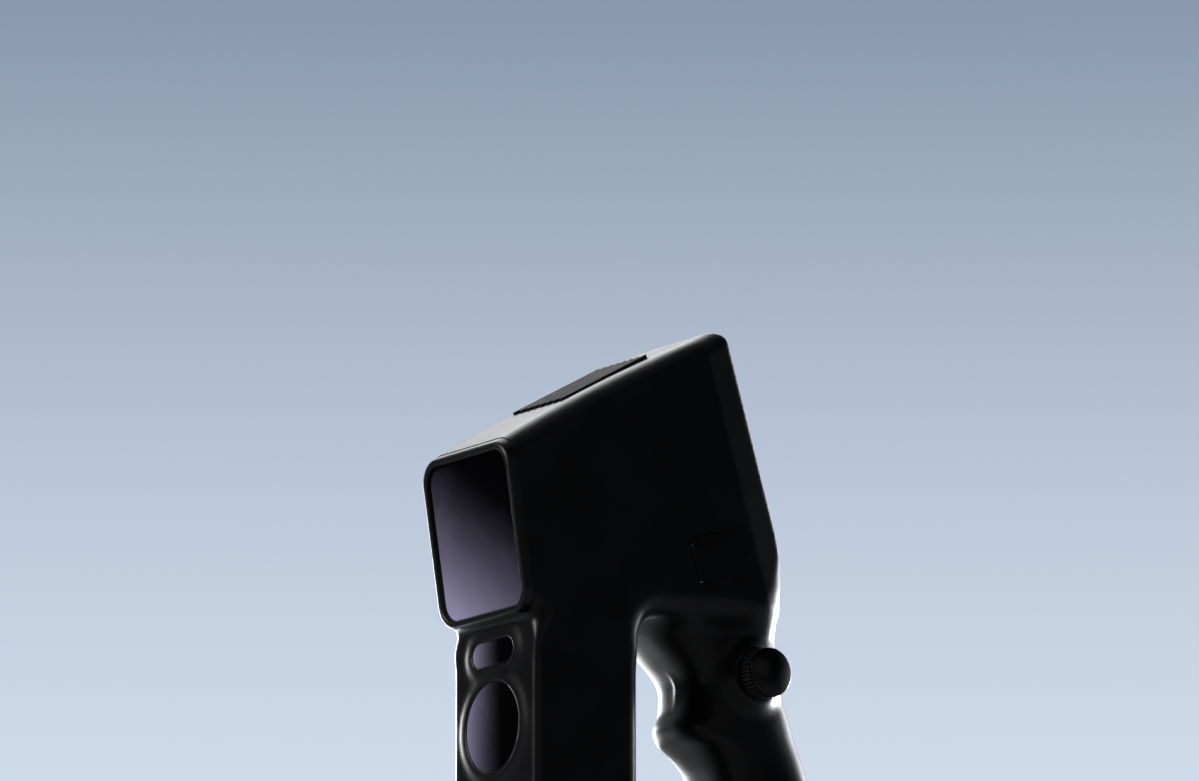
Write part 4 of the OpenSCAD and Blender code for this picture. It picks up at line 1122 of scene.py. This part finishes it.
class SCANNER_OT_housings(ScannerOperator, bpy.types.Operator):
    """Moulds the main and the rear housing, with their openings and the parting line"""
    bl_idname = "scanner.housings"
    bl_label = "Housings"

    def seats(self, p):
        """Solids, reaching well past the body, that cut the floor and the seats of the framed windows"""
        wide, clear = 40, 0.05
        yield slab("floor", (-wide, -130, -12), (wide, 130, p.floor_height), np.eye(4))
        front = (-wide, -p.front_height / 2 - clear, -p.frame_depth), (wide, 60, 20)
        yield slab("front_seat", *front, p.front())
        foot = (-wide, -60, -p.frame_depth), (wide, p.foot_height / 2 + clear, 20)
        yield slab("foot_seat", *foot, p.foot())

    def openings(self, p):
        """Solids that open the shell for the column's windows, vent, port, dial and display"""
        lip, lip_depth, through = 0.6, 0.27, 8
        rim = ((p.clear, -14), (p.clear, p.surround - lip_depth),
               (p.clear + lip, p.surround + SLACK), (p.clear + lip, 6))
        rings = [raised(circle(p.flash_radius + grow), z) for grow, z in rim]
        yield stacked("flash_hole", rings, p.column(p.flash_height))
        rings = [raised(pill_outline(p, grow), z) for grow, z in rim]
        yield stacked("pill_hole", rings, p.column(p.camera_height))
        vent = rounded_rectangle(p.vent_width + p.clear, p.vent_length + p.clear, 2.5)
        yield prism("vent_hole", vent, -through, through, p.top())
        long, high = p.port_length + 2 * PORT_GAP, p.port_height + 2 * PORT_GAP
        port = rounded_rectangle(long, high, PORT_CORNER + PORT_GAP)
        yield prism("port_hole", port, -through - 1, through + 1, p.port())
        yield prism("dial_hole", circle(4.6, 48), 10, 40, p.dial())
        gap, ledge, seat = 0.3, 2.0, 1.4
        around = rounded_rectangle(p.display_width + 2 * gap, p.display_length + 2 * gap, 4)
        yield prism("display_seat", around, -seat, through, p.rear())
        inside = rounded_rectangle(p.display_width - 2 * ledge, p.display_length - 2 * ledge, 2.5)
        yield prism("display_hole", inside, -through, 1, p.rear())

    def execute(self, context):
        p = Places(context.scene)
        body, plain, surrounds = body_form(p), body_form(p, boss=False), window_surrounds(p)
        # A box with a few millimetres to spare round the skin
        low = (-p.half - 4, p.front_top[0] - 18, -7)
        high = (p.half + 4, p.rear_y(0) + 6, p.rear_top[1] + 5)

        def outside(points):
            """Distance to the body with the raised surrounds"""
            return np.minimum(body(points), surrounds(points))

        def hollow(points):
            """Distance to the room inside the wall"""
            return plain(points) + p.wall

        shell = new_mesh("shell", *skin(outside, low, high, p.skin_step))
        shell = carve(shell, new_mesh("hollow", *skin(hollow, low, high, 2 * p.skin_step)))
        for tool in (*self.seats(p), *self.openings(p)):
            shell = carve(shell, tool)
        behind = (-60, 0, -400), (60, 200, 400)
        front = carve(shell.copy(), slab("behind", *behind, p.parting(-p.seam / 2)))
        rear = carve(shell, slab("behind", *behind, p.parting(p.seam / 2)), "INTERSECT")
        made = []
        for node, mesh in (("main_housing", front), ("rear_housing", rear)):
            mark_edges(mesh, outside)
            made.append(finish_piece(node + "_shell", mesh, "housing", [node], "soft_black", 40))
        return self.done(made)


class SCANNER_OT_windows(ScannerOperator, bpy.types.Operator):
    """Makes the window frames, the panes of glass and the lenses behind them"""
    bl_idname = "scanner.windows"
    bl_label = "Windows"

    def rim(self, name, height, p, place, top, low):
        """Frame swept round a window, its outside following the slopes above and below it"""
        outer, inner, short, deep = 1.2, 0.9, 0.05, -7.8
        seat, back = -p.pane_front - p.glass - SLACK, -p.frame_depth - SLACK
        tube_out, tube_in = p.rim + 0.5, p.rim + 2.5
        profile = [(0, short - p.frame_depth), (0, -2 * outer), *arc(outer, -outer, outer, 180, 90, 5)]
        profile += arc(p.rim - inner, -inner, inner, 90, 0, 4)
        profile += [(p.rim, seat), (tube_in, seat), (tube_in, deep), (tube_out, deep), (tube_out, back)]
        profile.append((2 * short, back))
        rings = []
        for inset, z in profile:
            corner = p.head_corner - min(inset, 6)
            ring = rounded_rectangle(p.width - 2 * inset, height - 2 * inset, corner, 12)
            swell = -z * max(0.0, 1 - inset / 2)
            ring[:, 1] += np.where(ring[:, 1] > 0, swell * math.tan(top), -swell * math.tan(low))
            rings.append(raised(ring, z))
        return stacked(name, rings, place, closed=True)

    def pane(self, name, outline, front, p, place, painted_reflection):
        """Plate of glass with ground edges, and the spread of its painted reflection: middle, rise to -X,
        rise downwards
        """
        ground = 0.25
        back = front - p.glass
        reach = np.abs(outline).max(0)
        small = outline * (1 - ground / reach)
        rings = [raised(small, front), raised(outline, front - ground),
                 raised(outline, back + ground), raised(small, back)]
        mesh = stacked(name, rings, place)
        flat = np.concatenate(rings)[:, :2] / reach
        # Painted reflection of the lavender coating: a plane gradient over the pane, read by the glass finish
        mark_points(mesh, "painted_reflection", painted_reflection[0] - painted_reflection[1] * flat[:, 0] - painted_reflection[2] * flat[:, 1])
        return mesh

    def framed(self, p):
        """The projector's and the foot's window: frame and pane"""
        under = math.atan2(*(p.rear_low - p.front_low)[::-1])
        inset = p.rim + p.clear / 2
        for frame_node, glass, height, place, slopes in (
                ("window_frame", "projector_glass", p.front_height, p.front(),
                 (p.top_rise - p.front_pitch, p.front_pitch - under)),
                ("foot_frame", "foot_glass", p.foot_height, p.foot(),
                 (p.front_pitch, -p.front_pitch))):
            mesh = self.rim(frame_node + "_rim", height, p, place, *slopes)
            yield finish_piece(frame_node + "_rim", mesh, "housing", [frame_node], "black_plastic")
            outline = rounded_rectangle(p.width - 2 * inset, height - 2 * inset, p.head_corner - inset, 12)
            # Painted reflection on the big panes, strongest towards -X and downwards
            mesh = self.pane(glass + "_pane", outline, -p.pane_front, p, place, (0.39, 0.24, 0.375))
            yield finish_piece(glass + "_pane", mesh, "housing", [glass], "window_glass")

    def on_column(self, p):
        """Panes of the pill and the round window"""
        front = p.surround - p.sink
        for node, outline, z in (("camera_glass", pill_outline(p), p.camera_height),
                                 ("flash_glass", circle(p.flash_radius), p.flash_height)):
            # Painted reflection on the column's panes, strongest towards -X
            mesh = self.pane(node + "_pane", outline, front, p, p.column(z), (0.26, 0.56, 0.0))
            yield finish_piece(node + "_pane", mesh, "housing", [node], "window_glass")

    def lenses(self, p):
        """Lenses behind the projector's, the foot's and the pill window"""
        for node, radius, bulge, rim, behind, place in (
                ("projector_lens", 12, 2.6, 2.2, 6.6, p.front()),
                ("foot_lens", 7.5, 2, 2, 8.4, p.foot())):
            mesh = lens(node + "_dome", radius, bulge, rim, -p.frame_depth - behind, place)
            yield finish_piece(node + "_dome", mesh, "housing", [node], "lens_glass")
        base = p.surround - p.sink - p.glass - 4.6
        pair = [lens("camera_lens", 2.95, 1, 1.6, base, p.column(p.camera_height, x)) for x in (-6.5, 6.5)]
        mesh = joined("camera_lens_pair", pair)
        yield finish_piece("camera_lens_pair", mesh, "housing", ["camera_lenses"], "lens_glass")

    def execute(self, context):
        p = Places(context.scene)
        return self.done([*self.framed(p), *self.on_column(p), *self.lenses(p)])


class SCANNER_OT_flash(ScannerOperator, bpy.types.Operator):
    """Makes the reflector, the ring of lights and the camera behind the round window"""
    bl_idname = "scanner.flash"
    bl_label = "Flash"

    def bowl(self, p, back, place):
        """Reflector with a curved inside, open at the back"""
        hole, throat, mouth, outer, floor = 12.6, 13.6, 16.4, 17.4, back + 4.2
        top = -p.wall - p.clear
        profile = [(hole, back), (outer, back), (outer, top), (mouth, top)]
        profile += [(throat + (mouth - throat) * t ** 0.6, floor + (top - floor) * t)
                    for t in (0.8, 0.6, 0.4, 0.25, 0.12, 0.04)]
        profile += [(throat, floor), (hole, floor)]
        rings = [raised(circle(r), z) for r, z in profile]
        return stacked("flash_reflector_bowl", rings, place, closed=True)

    def barrel(self, back, seat, place):
        """Tube of the middle camera, its front edges broken"""
        inner, outer, front, broken = 4.2, 5.2, back + 11, 0.2
        profile = ((inner, seat), (inner, front - broken), (inner + broken, front), (outer - broken, front),
                   (outer, front - broken), (outer, back), (inner, back))
        rings = [raised(circle(r, 64), z) for r, z in profile]
        return stacked("flash_camera_barrel", rings, place, closed=True)

    def execute(self, context):
        p = Places(context.scene)
        place, back = p.column(p.flash_height), -18.0
        lights, seat = back + 6.45, back + 8
        mesh = self.bowl(p, back, place)
        made = [finish_piece("flash_reflector_bowl", mesh, "housing", ["flash_reflector"], "reflector")]
        mesh = grown(led_ring_tree(), {
            "Lights": 10, "Radius": 0.0096, "Package": 0.0028, "Height": 0.0009, "Dome": 0.0011,
            "Material": finish_of("led_yellow")})
        mesh.transform(in_metres(place, lights))
        made.append(finish_piece("flash_led_ring", mesh, "housing", ["flash_leds"], "led_yellow"))
        mesh = self.barrel(back, seat, place)
        made.append(finish_piece("flash_camera_barrel", mesh, "housing", ["flash_camera"], "module_black"))
        mesh = lens("flash_camera_lens", 4.1, 1.2, 1, seat, place)
        made.append(finish_piece("flash_camera_lens", mesh, "housing", [], "lens_glass"))
        return self.done(made)


class SCANNER_OT_vent(ScannerOperator, bpy.types.Operator):
    """Makes the vent grille: its border and the row of fins"""
    bl_idname = "scanner.vent"
    bl_label = "Vent grille"

    def border(self, p):
        """Frame round the fins, with a flange under the housing's wall"""
        gap, sunk, broken, bar, flange, thick = 0.05, 0.7, 0.25, 1.45, 2.05, 1.4
        under = -p.wall - 1.2
        profile = ((-flange, under - thick), (-flange, under), (0, under), (0, -sunk - broken),
                   (broken, -sunk), (bar - broken, -sunk), (bar, -sunk - broken), (bar, under - thick))
        rings = []
        for inset, z in profile:
            w, h = (size - 2 * gap - 2 * inset for size in (p.vent_width, p.vent_length))
            rings.append(raised(rounded_rectangle(w, h, min(2.3, 2.6 - 0.6 * inset), 8), z))
        return stacked("vent_border", rings, p.top(), closed=True)

    def execute(self, context):
        p = Places(context.scene)
        gap, short, sunk = 0.6, 0.5, 1.3
        pitch = (p.vent_width - p.fin_width - 2 * gap) / (p.vent_fins - 1)
        fins = grown(vent_fins_tree(), {
            "Fins": p.vent_fins, "Pitch": pitch / MM, "Length": (p.vent_length - short) / MM,
            "Width": p.fin_width / MM, "Height": 0.0046, "Rounding": 0.0003,
            "Material": finish_of("grille_grey")})
        fins.transform(in_metres(p.top(), -sunk))
        mesh = joined("vent_grille_fins", [self.border(p), fins])
        piece = finish_piece("vent_grille_fins", mesh, "housing", ["vent_grille"], "grille_grey")
        return self.done([piece])


class SCANNER_OT_dial(ScannerOperator, bpy.types.Operator):
    """Makes the thumb dial: knurled skirt and domed cap"""
    bl_idname = "scanner.dial"
    bl_label = "Thumb dial"

    def knob(self, p, foot, top):
        """Skirt between two rims, with the rows of ridges round its core"""
        r, bore, low_rim, high_rim = p.dial_radius, 3.1, 0.6, 0.5
        core = r - 0.85
        profile = [(bore, foot), (r - 0.35, foot), (r - 0.1, foot + 0.2), (r - 0.1, foot + low_rim - 0.1),
                   (core, foot + low_rim), (core, top - high_rim), (r - 0.25, top - high_rim + 0.08),
                   (r - 0.2, top - 0.1), (r - 0.35, top), (bore, top)]
        skirt = stacked("dial_skirt", [raised(circle(a, 144), z) for a, z in profile], p.dial(), closed=True)
        pitch = (top - foot - low_rim - high_rim) / p.dial_rows
        ridges = grown(dial_knurl_tree(), {
            "Ridges": p.dial_ridges, "Rows": p.dial_rows, "Radius": (r - 0.55) / MM, "Row pitch": pitch / MM,
            "Width": 0.0009, "Depth": 0.0011, "Height": (pitch - 0.5) / MM, "Rounding": 0.0002,
            "Material": finish_of("dial_black")})
        ridges.transform(in_metres(p.dial(), foot + low_rim + pitch / 2))
        # Painted highlight: every ridge is marked like a worn edge, so the whole knurl renders paler than the
        # skirt and cap
        mark_points(ridges, "edge", np.ones(len(ridges.vertices)))
        return joined("dial_knob_knurl", [ridges, skirt])

    def cap(self, p, base):
        """Domed cap with a rounded rim"""
        r, bulge, rim = p.dial_radius - 0.1, 1.7, 0.6
        near_pole = 1.57  # radians, just under a quarter turn
        profile = [(r - 0.15, base), (r, base + 0.15), (r, base + 0.4), (r - 0.1, base + 0.58)]
        profile += dome(r, bulge, base + rim, (r - 0.3) * np.cos(np.linspace(0, near_pole, 20)))
        return turned("dial_cap_dome", profile, p.dial(), 128)

    def execute(self, context):
        p = Places(context.scene)
        foot = p.boss_top + 1.2
        top = foot + p.dial_skirt
        knob, cap = self.knob(p, foot, top), self.cap(p, top + 2 * SLACK)
        return self.done([
            finish_piece("dial_knob_knurl", knob, "dial_knob", ["dial_knob"], "dial_black"),
            finish_piece("dial_cap_dome", cap, "dial_knob", ["dial_cap"], "dial_black")])


class SCANNER_OT_port(ScannerOperator, bpy.types.Operator):
    """Makes the port cover with its hinge knuckle"""
    bl_idname = "scanner.port"
    bl_label = "Port cover"

    def plate(self, p, thick, knuckle, ear):
        """Cover plate with rounded edges, cut back for the knuckle and for the housing's two ears"""
        long, high, through, room = p.port_length, p.port_height, 9, 3.55
        edges = ((0, -thick), (0, -0.4), (0.12, -0.12), (0.4, 0), (0.6, 0), (1.2, 0))
        rings = [raised(rounded_rectangle(long - 2 * inset, high - 2 * inset, PORT_CORNER - inset, 10), z)
                 for inset, z in edges]
        plate = stacked("port_plate", rings, p.port())
        side = (-long, -high, -through), (-long / 2 + knuckle, high, through)
        plate = carve(plate, slab("knuckle_side", *side, p.port()))
        half_ear = ear / 2 + PORT_GAP
        for middle in (-(high - ear) / 2, (high - ear) / 2):
            cut = (-long, middle - half_ear, -through), (-long / 2 + room, middle + half_ear, through)
            plate = carve(plate, slab("ear", *cut, p.port()))
        return plate

    def barrel(self, p, knuckle, ear):
        """Knuckle on the hinge's axis, between the ears"""
        bore, broken = 0.85, 0.1
        reach = p.port_height / 2 - ear - PORT_GAP
        profile = ((bore, -reach), (knuckle - broken, -reach), (knuckle, broken - reach),
                   (knuckle, reach - broken), (knuckle - broken, reach), (bore, reach))
        pin = Matrix.Translation((-p.port_length / 2 + knuckle, 0, -knuckle))
        pin = pin @ Matrix.Rotation(-math.pi / 2, 4, "X")
        rings = [raised(circle(r, 40), z) for r, z in profile]
        return stacked("knuckle", rings, p.port() @ np.array(pin), closed=True)

    def execute(self, context):
        p = Places(context.scene)
        thick, knuckle, ear = 2.2, 1.2, 2.4
        mesh = joined("port_cover_plate", [self.plate(p, thick, knuckle, ear), self.barrel(p, knuckle, ear)])
        piece = finish_piece("port_cover_plate", mesh, "port_cover", ["port_cover"], "cover_black")
        return self.done([piece])


class SCANNER_OT_display(ScannerOperator, bpy.types.Operator):
    """Makes the display's cover glass on the rear face"""
    bl_idname = "scanner.display"
    bl_label = "Display"

    def execute(self, context):
        p = Places(context.scene)
        corner = 3.8
        edges = ((0.2, -1.3), (0, -1.1), (0, -0.35), (0.1, -0.1), (0.35, 0), (2.4, 0), (2.6, 0))
        rings = []
        for inset, z in edges:
            w, h = p.display_width - 2 * inset, p.display_length - 2 * inset
            rings.append(raised(rounded_rectangle(w, h, corner - inset, 10), z))
        mesh = stacked("display_cover", rings, p.rear())
        piece = finish_piece("display_cover", mesh, "housing", ["display_glass"], "display_glass")
        return self.done([piece])


class SCANNER_OT_base(ScannerOperator, bpy.types.Operator):
    """Makes the tripod bush with its thread, and the screws under the base"""
    bl_idname = "scanner.base"
    bl_label = "Base"

    def bush(self, p):
        """Bush with a flange over the base and a helical thread cut into its bore"""
        count, pitch, deep, tall, axis = 64, 1.27, 8.0, 10.2, POLE_FLAT
        body, flange, broken, low, high = 5, 7.4, 0.2, p.floor_height, p.floor_height + 1.6
        profile = ((3.5, 0), (body - broken, 0), (body, broken), (body, low), (flange - broken, low),
                   (flange, low + broken), (flange, high - broken), (flange - broken, high), (body, high),
                   (body, tall), (axis, tall), (axis, deep), (2.6, deep))
        rings = [raised(circle(r, count), z) for r, z in profile]
        turn = np.arange(count) / count
        root, depth = 2.55, 0.6
        for z in np.arange(deep - 0.05, 0.3, -pitch / 8):
            wave = np.abs((z / pitch - turn) % 1.0 - 0.5) * 2
            r = root + depth * np.clip(wave * 1.25 - 0.1, 0, 1)
            rings.append(raised(r[:, None] * circle(1.0, count), z))
        return stacked("tripod_bush_thread", rings, np.eye(4), closed=True)

    def screw(self):
        """Pan-head screw with a six-sided recess, head down"""
        count = 48
        a = np.arange(count) * 2 * math.pi / count
        six = math.cos(math.pi / 6) / np.cos((a % (math.pi / 3)) - math.pi / 6)
        hexagon = six[:, None] * circle(1.0, count)
        rings = [raised(hexagon, z) for z in (1.6, 0.62)]
        rings += [raised(circle(r, count), z) for r, z in (
            (2.0, 0.6), (2.3, 0.72), (2.4, 1.0), (2.4, 2.15), (1.0, 2.2), (1.0, 9.4))]
        return stacked("base_screw", rings, np.eye(4))

    def execute(self, context):
        p = Places(context.scene)
        made = [finish_piece("tripod_bush_thread", self.bush(p), "housing", ["tripod_bush"], "bush_brass")]
        front = p.half - p.wall - 3.4, p.column_front + 30
        rear = p.base_rear_half - 5, 60
        spots = [(side * x / MM, y / MM, 0.0) for x, y in (front, rear) for side in (-1, 1)]
        one = bpy.data.objects.new("one_screw", self.screw())
        context.scene.collection.objects.link(one)
        mesh = grown(screws_tree(), {"Screw": one, "Material": finish_of("steel")}, spots)
        bpy.data.objects.remove(one)
        made.append(finish_piece("base_screws_set", mesh, "housing", ["base_screws"], "steel"))
        return self.done(made)


class SCANNER_OT_inner(ScannerOperator, bpy.types.Operator):
    """Paints and breaks the edges of the pieces that keep their CAD shape"""
    bl_idname = "scanner.inner"
    bl_label = "Inner pieces"

    def execute(self, context):
        slots = {s["node"]: s["material_slot"] for s in frame["record"]["subparts"]}
        made = [(name, piece) for name, piece in frame["nodes"].items() if not piece.hide_render]
        for name, piece in made:
            piece.data.materials.clear()
            piece.data.materials.append(finish_of("cover_black" if name == "port_block" else slots[name]))
            weld = piece.modifiers.new("weld", "WELD")
            weld.merge_threshold = 0.00001
            bevel = piece.modifiers.new("edges", "BEVEL")
            bevel.width, bevel.segments, bevel.limit_method = 0.00018, 2, "ANGLE"
            bevel.angle_limit, bevel.use_clamp_overlap = math.radians(40), True
        return self.done(made)


class SCANNER_OT_stage(ScannerOperator, bpy.types.Operator):
    """Sets the pale floor, the soft lights, the background and the camera"""
    bl_idname = "scanner.stage"
    bl_label = "Stage"

    def floor_finish(self, colour):
        """Pale finish that fades out into the background and is clear from below, for a low camera"""
        m = bpy.data.materials.new("stage_floor")
        m.use_nodes = True
        t = Tree(m.node_tree)
        shader = m.node_tree.nodes["Principled BSDF"]
        place = t.add("ShaderNodeTexCoord").outputs["Object"]
        cloud = t.add("ShaderNodeTexNoise", Vector=place, Scale=6.0, Detail=3.0).outputs[0]
        pale = t.blend(cloud, tuple(0.97 * c for c in colour), colour)
        seen = t.add("ShaderNodeLightPath").outputs
        mirrored = t.math("MAXIMUM", seen["Is Glossy Ray"], seen["Is Diffuse Ray"])
        t.feed(shader, "Base_Color", t.blend(mirrored, pale, tuple(0.3 * c for c in colour)))
        t.feed(shader, "Roughness", 0.7)
        clear = t.add("ShaderNodeBsdfTransparent")
        below = t.add("ShaderNodeNewGeometry").outputs["Backfacing"]
        away = t.add("ShaderNodeVectorMath", {"operation": "LENGTH"}, i0=place).outputs["Value"]
        fade_from, fade_to = 0.35, 1.3
        unseen = t.math("MAXIMUM", below, t.span(away, fade_from, fade_to, 0.0, 1.0))
        both = t.add("ShaderNodeMixShader", i0=unseen, i1=shader.outputs[0], i2=clear.outputs[0])
        t.feed(m.node_tree.nodes["Material Output"], "Surface", both.outputs[0])
        return m

    def floor(self, colour):
        """Flat floor under the scanner"""
        n, reach = 25, 1.6
        side = np.linspace(-reach, reach, n)
        points = [(x, y, 0.0) for y in side for x in side]
        faces = [(j * n + i, j * n + i + 1, (j + 1) * n + i + 1, (j + 1) * n + i)
                 for j in range(n - 1) for i in range(n - 1)]
        mesh = bpy.data.meshes.new("stage_floor")
        mesh.from_pydata(points, [], faces)
        mesh.materials.append(self.floor_finish(colour))
        floor = bpy.data.objects.new("stage_floor", mesh)
        bpy.context.scene.collection.objects.link(floor)
        return floor

    def light(self, name, spot, aim, size, watts, colour, floor=None, state="EXCLUDE"):
        """Soft rectangular light aimed at a point, which may leave out the floor or light nothing else"""
        data = bpy.data.lights.new(name, "AREA")
        data.shape, data.size, data.size_y = "RECTANGLE", *size
        data.energy, data.color = watts, colour
        lamp = bpy.data.objects.new(name, data)
        lamp.location = spot
        lamp.visible_camera = False
        lamp.rotation_euler = (Vector(aim) - Vector(spot)).to_track_quat("-Z", "Y").to_euler()
        if floor:
            linked = bpy.data.collections.new(name + "_floor")
            linked.objects.link(floor)
            linked.collection_objects[0].light_linking.link_state = state
            lamp.light_linking.receiver_collection = linked
        bpy.context.scene.collection.objects.link(lamp)
        return lamp

    def background(self, scene, stage):
        """Pale background, seen whole by camera and glass and from one side by gloss, and a dim light"""
        world = bpy.data.worlds.new("stage_background")
        world.use_nodes = True
        world.cycles.sampling_method = "NONE"
        scene.world = world
        t = Tree(world.node_tree)
        world.node_tree.nodes.clear()
        way = t.add("ShaderNodeTexCoord").outputs["Generated"]
        height = t.add("ShaderNodeSeparateXYZ", Vector=way).outputs["Z"]
        pale = t.blend(t.span(height, 0.13, 0.31, 0.0, 1.0), tuple(stage.horizon), tuple(stage.zenith))
        side = t.add("ShaderNodeVectorMath", {"operation": "DOT_PRODUCT"}, i0=way, i1=tuple(stage.glow))
        seen = t.add("ShaderNodeLightPath").outputs
        shown = t.math("MAXIMUM", seen["Is Camera Ray"], seen["Is Transmission Ray"])
        glow = t.span(side.outputs["Value"], 0.3, 0.85, 0.012, 1.0)
        gloss = t.math("MULTIPLY", seen["Is Glossy Ray"], glow)
        soft = t.math("MULTIPLY", seen["Is Diffuse Ray"], stage.ambient)
        strength = t.math("MAXIMUM", shown, t.math("MAXIMUM", gloss, soft))
        sky = t.add("ShaderNodeBackground", Color=pale, Strength=strength)
        t.add("ShaderNodeOutputWorld", Surface=sky.outputs[0])

    def camera(self, scene, stage):
        """Camera at the picture's viewing angle"""
        data = bpy.data.cameras.new("stage_camera")
        data.sensor_width = 36.0
        data.lens = data.sensor_width * stage.distance / stage.frame_width
        data.clip_end = 20.0
        camera = bpy.data.objects.new("stage_camera", data)
        flat = math.cos(stage.elevation)
        away = Vector((flat * math.sin(stage.azimuth), -flat * math.cos(stage.azimuth),
                       math.sin(stage.elevation)))
        camera.location = Vector(stage.target) + stage.distance * away
        camera.rotation_euler = (-away).to_track_quat("-Z", "Y").to_euler()
        scene.collection.objects.link(camera)
        scene.camera = camera
        return camera

    def execute(self, context):
        scene, stage = context.scene, context.scene.scanner_stage
        scene.view_settings.view_transform = "Standard"
        self.background(scene, stage)
        floor = self.floor(tuple(stage.floor))
        middle, grip, heel = (0.0, 0.0, 0.12), (0.0, 0.02, 0.08), (0.0, 0.05, 0.05)
        white, cool = (1.0, 1.0, 1.0), (0.94, 0.97, 1.0)
        return self.done([
            floor, self.camera(scene, stage),
            self.light("light_top_rear", (-0.75, 0.35, 1.05), middle, (0.9, 0.9), 9.0, white),
            self.light("light_rear", (-0.25, 1.25, 0.3), middle, (0.7, 0.6), 9.0, cool, floor),
            self.light("light_left", (-1.25, 0.22, 0.2), middle, (0.7, 0.4), 14.0, white, floor),
            self.light("light_grip", (-0.22, 0.0, 0.09), grip, (0.1, 0.16), 0.6, cool, floor),
            self.light("light_low_rear", (-0.12, 0.6, 0.09), heel, (0.2, 0.16), 4.4, cool, floor),
            self.light("light_front", (-0.2, -1.25, 0.75), middle, (0.6, 0.6), 14.0, white),
            self.light("light_right", (1.5, 0.15, 0.5), middle, (1.2, 0.8), 0.6, white, floor),
            self.light("light_floor", (0.0, 0.0, 2.0), middle, (2.0, 2.0), 22.0, white, floor, "INCLUDE"),
        ])


BUILDERS = (
    SCANNER_OT_finishes, SCANNER_OT_housings, SCANNER_OT_windows, SCANNER_OT_flash, SCANNER_OT_vent,
    SCANNER_OT_dial, SCANNER_OT_port, SCANNER_OT_display, SCANNER_OT_base, SCANNER_OT_inner, SCANNER_OT_stage)
SETTINGS = {
    "scanner_body": ScannerBody, "scanner_windows": ScannerWindows, "scanner_controls": ScannerControls,
    "scanner_finish": ScannerFinish, "scanner_stage": ScannerStage}


class SCANNER_PT_panel(bpy.types.Panel):
    """Sizes, finishes and steps of the scanner"""
    bl_idname = "SCANNER_PT_panel"
    bl_label = "Handheld Scanner"
    bl_space_type = "VIEW_3D"
    bl_region_type = "UI"
    bl_category = "Scanner"

    def draw(self, context):
        for builder in BUILDERS:
            self.layout.operator(builder.bl_idname)
        for key, group in SETTINGS.items():
            box = self.layout.box()
            box.label(text=group.__doc__)
            for name in group.__annotations__:
                box.prop(getattr(context.scene, key), name)


def register():
    """Adds the settings, the operators and the panel"""
    for key, group in SETTINGS.items():
        bpy.utils.register_class(group)
        setattr(bpy.types.Scene, key, PointerProperty(type=group))
    for builder in (*BUILDERS, SCANNER_PT_panel):
        bpy.utils.register_class(builder)


def unregister():
    """Takes them away again"""
    for builder in reversed((*BUILDERS, SCANNER_PT_panel)):
        bpy.utils.unregister_class(builder)
    for key, group in SETTINGS.items():
        delattr(bpy.types.Scene, key)
        bpy.utils.unregister_class(group)


def main():
    """Builds the scanner step by step"""
    register()
    for builder in BUILDERS:
        group, step = builder.bl_idname.split(".")
        if getattr(getattr(bpy.ops, group), step)() != {"FINISHED"}:
            raise RuntimeError(builder.bl_label + " did not finish")
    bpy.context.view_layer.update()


if __name__ == "__main__":
    main()
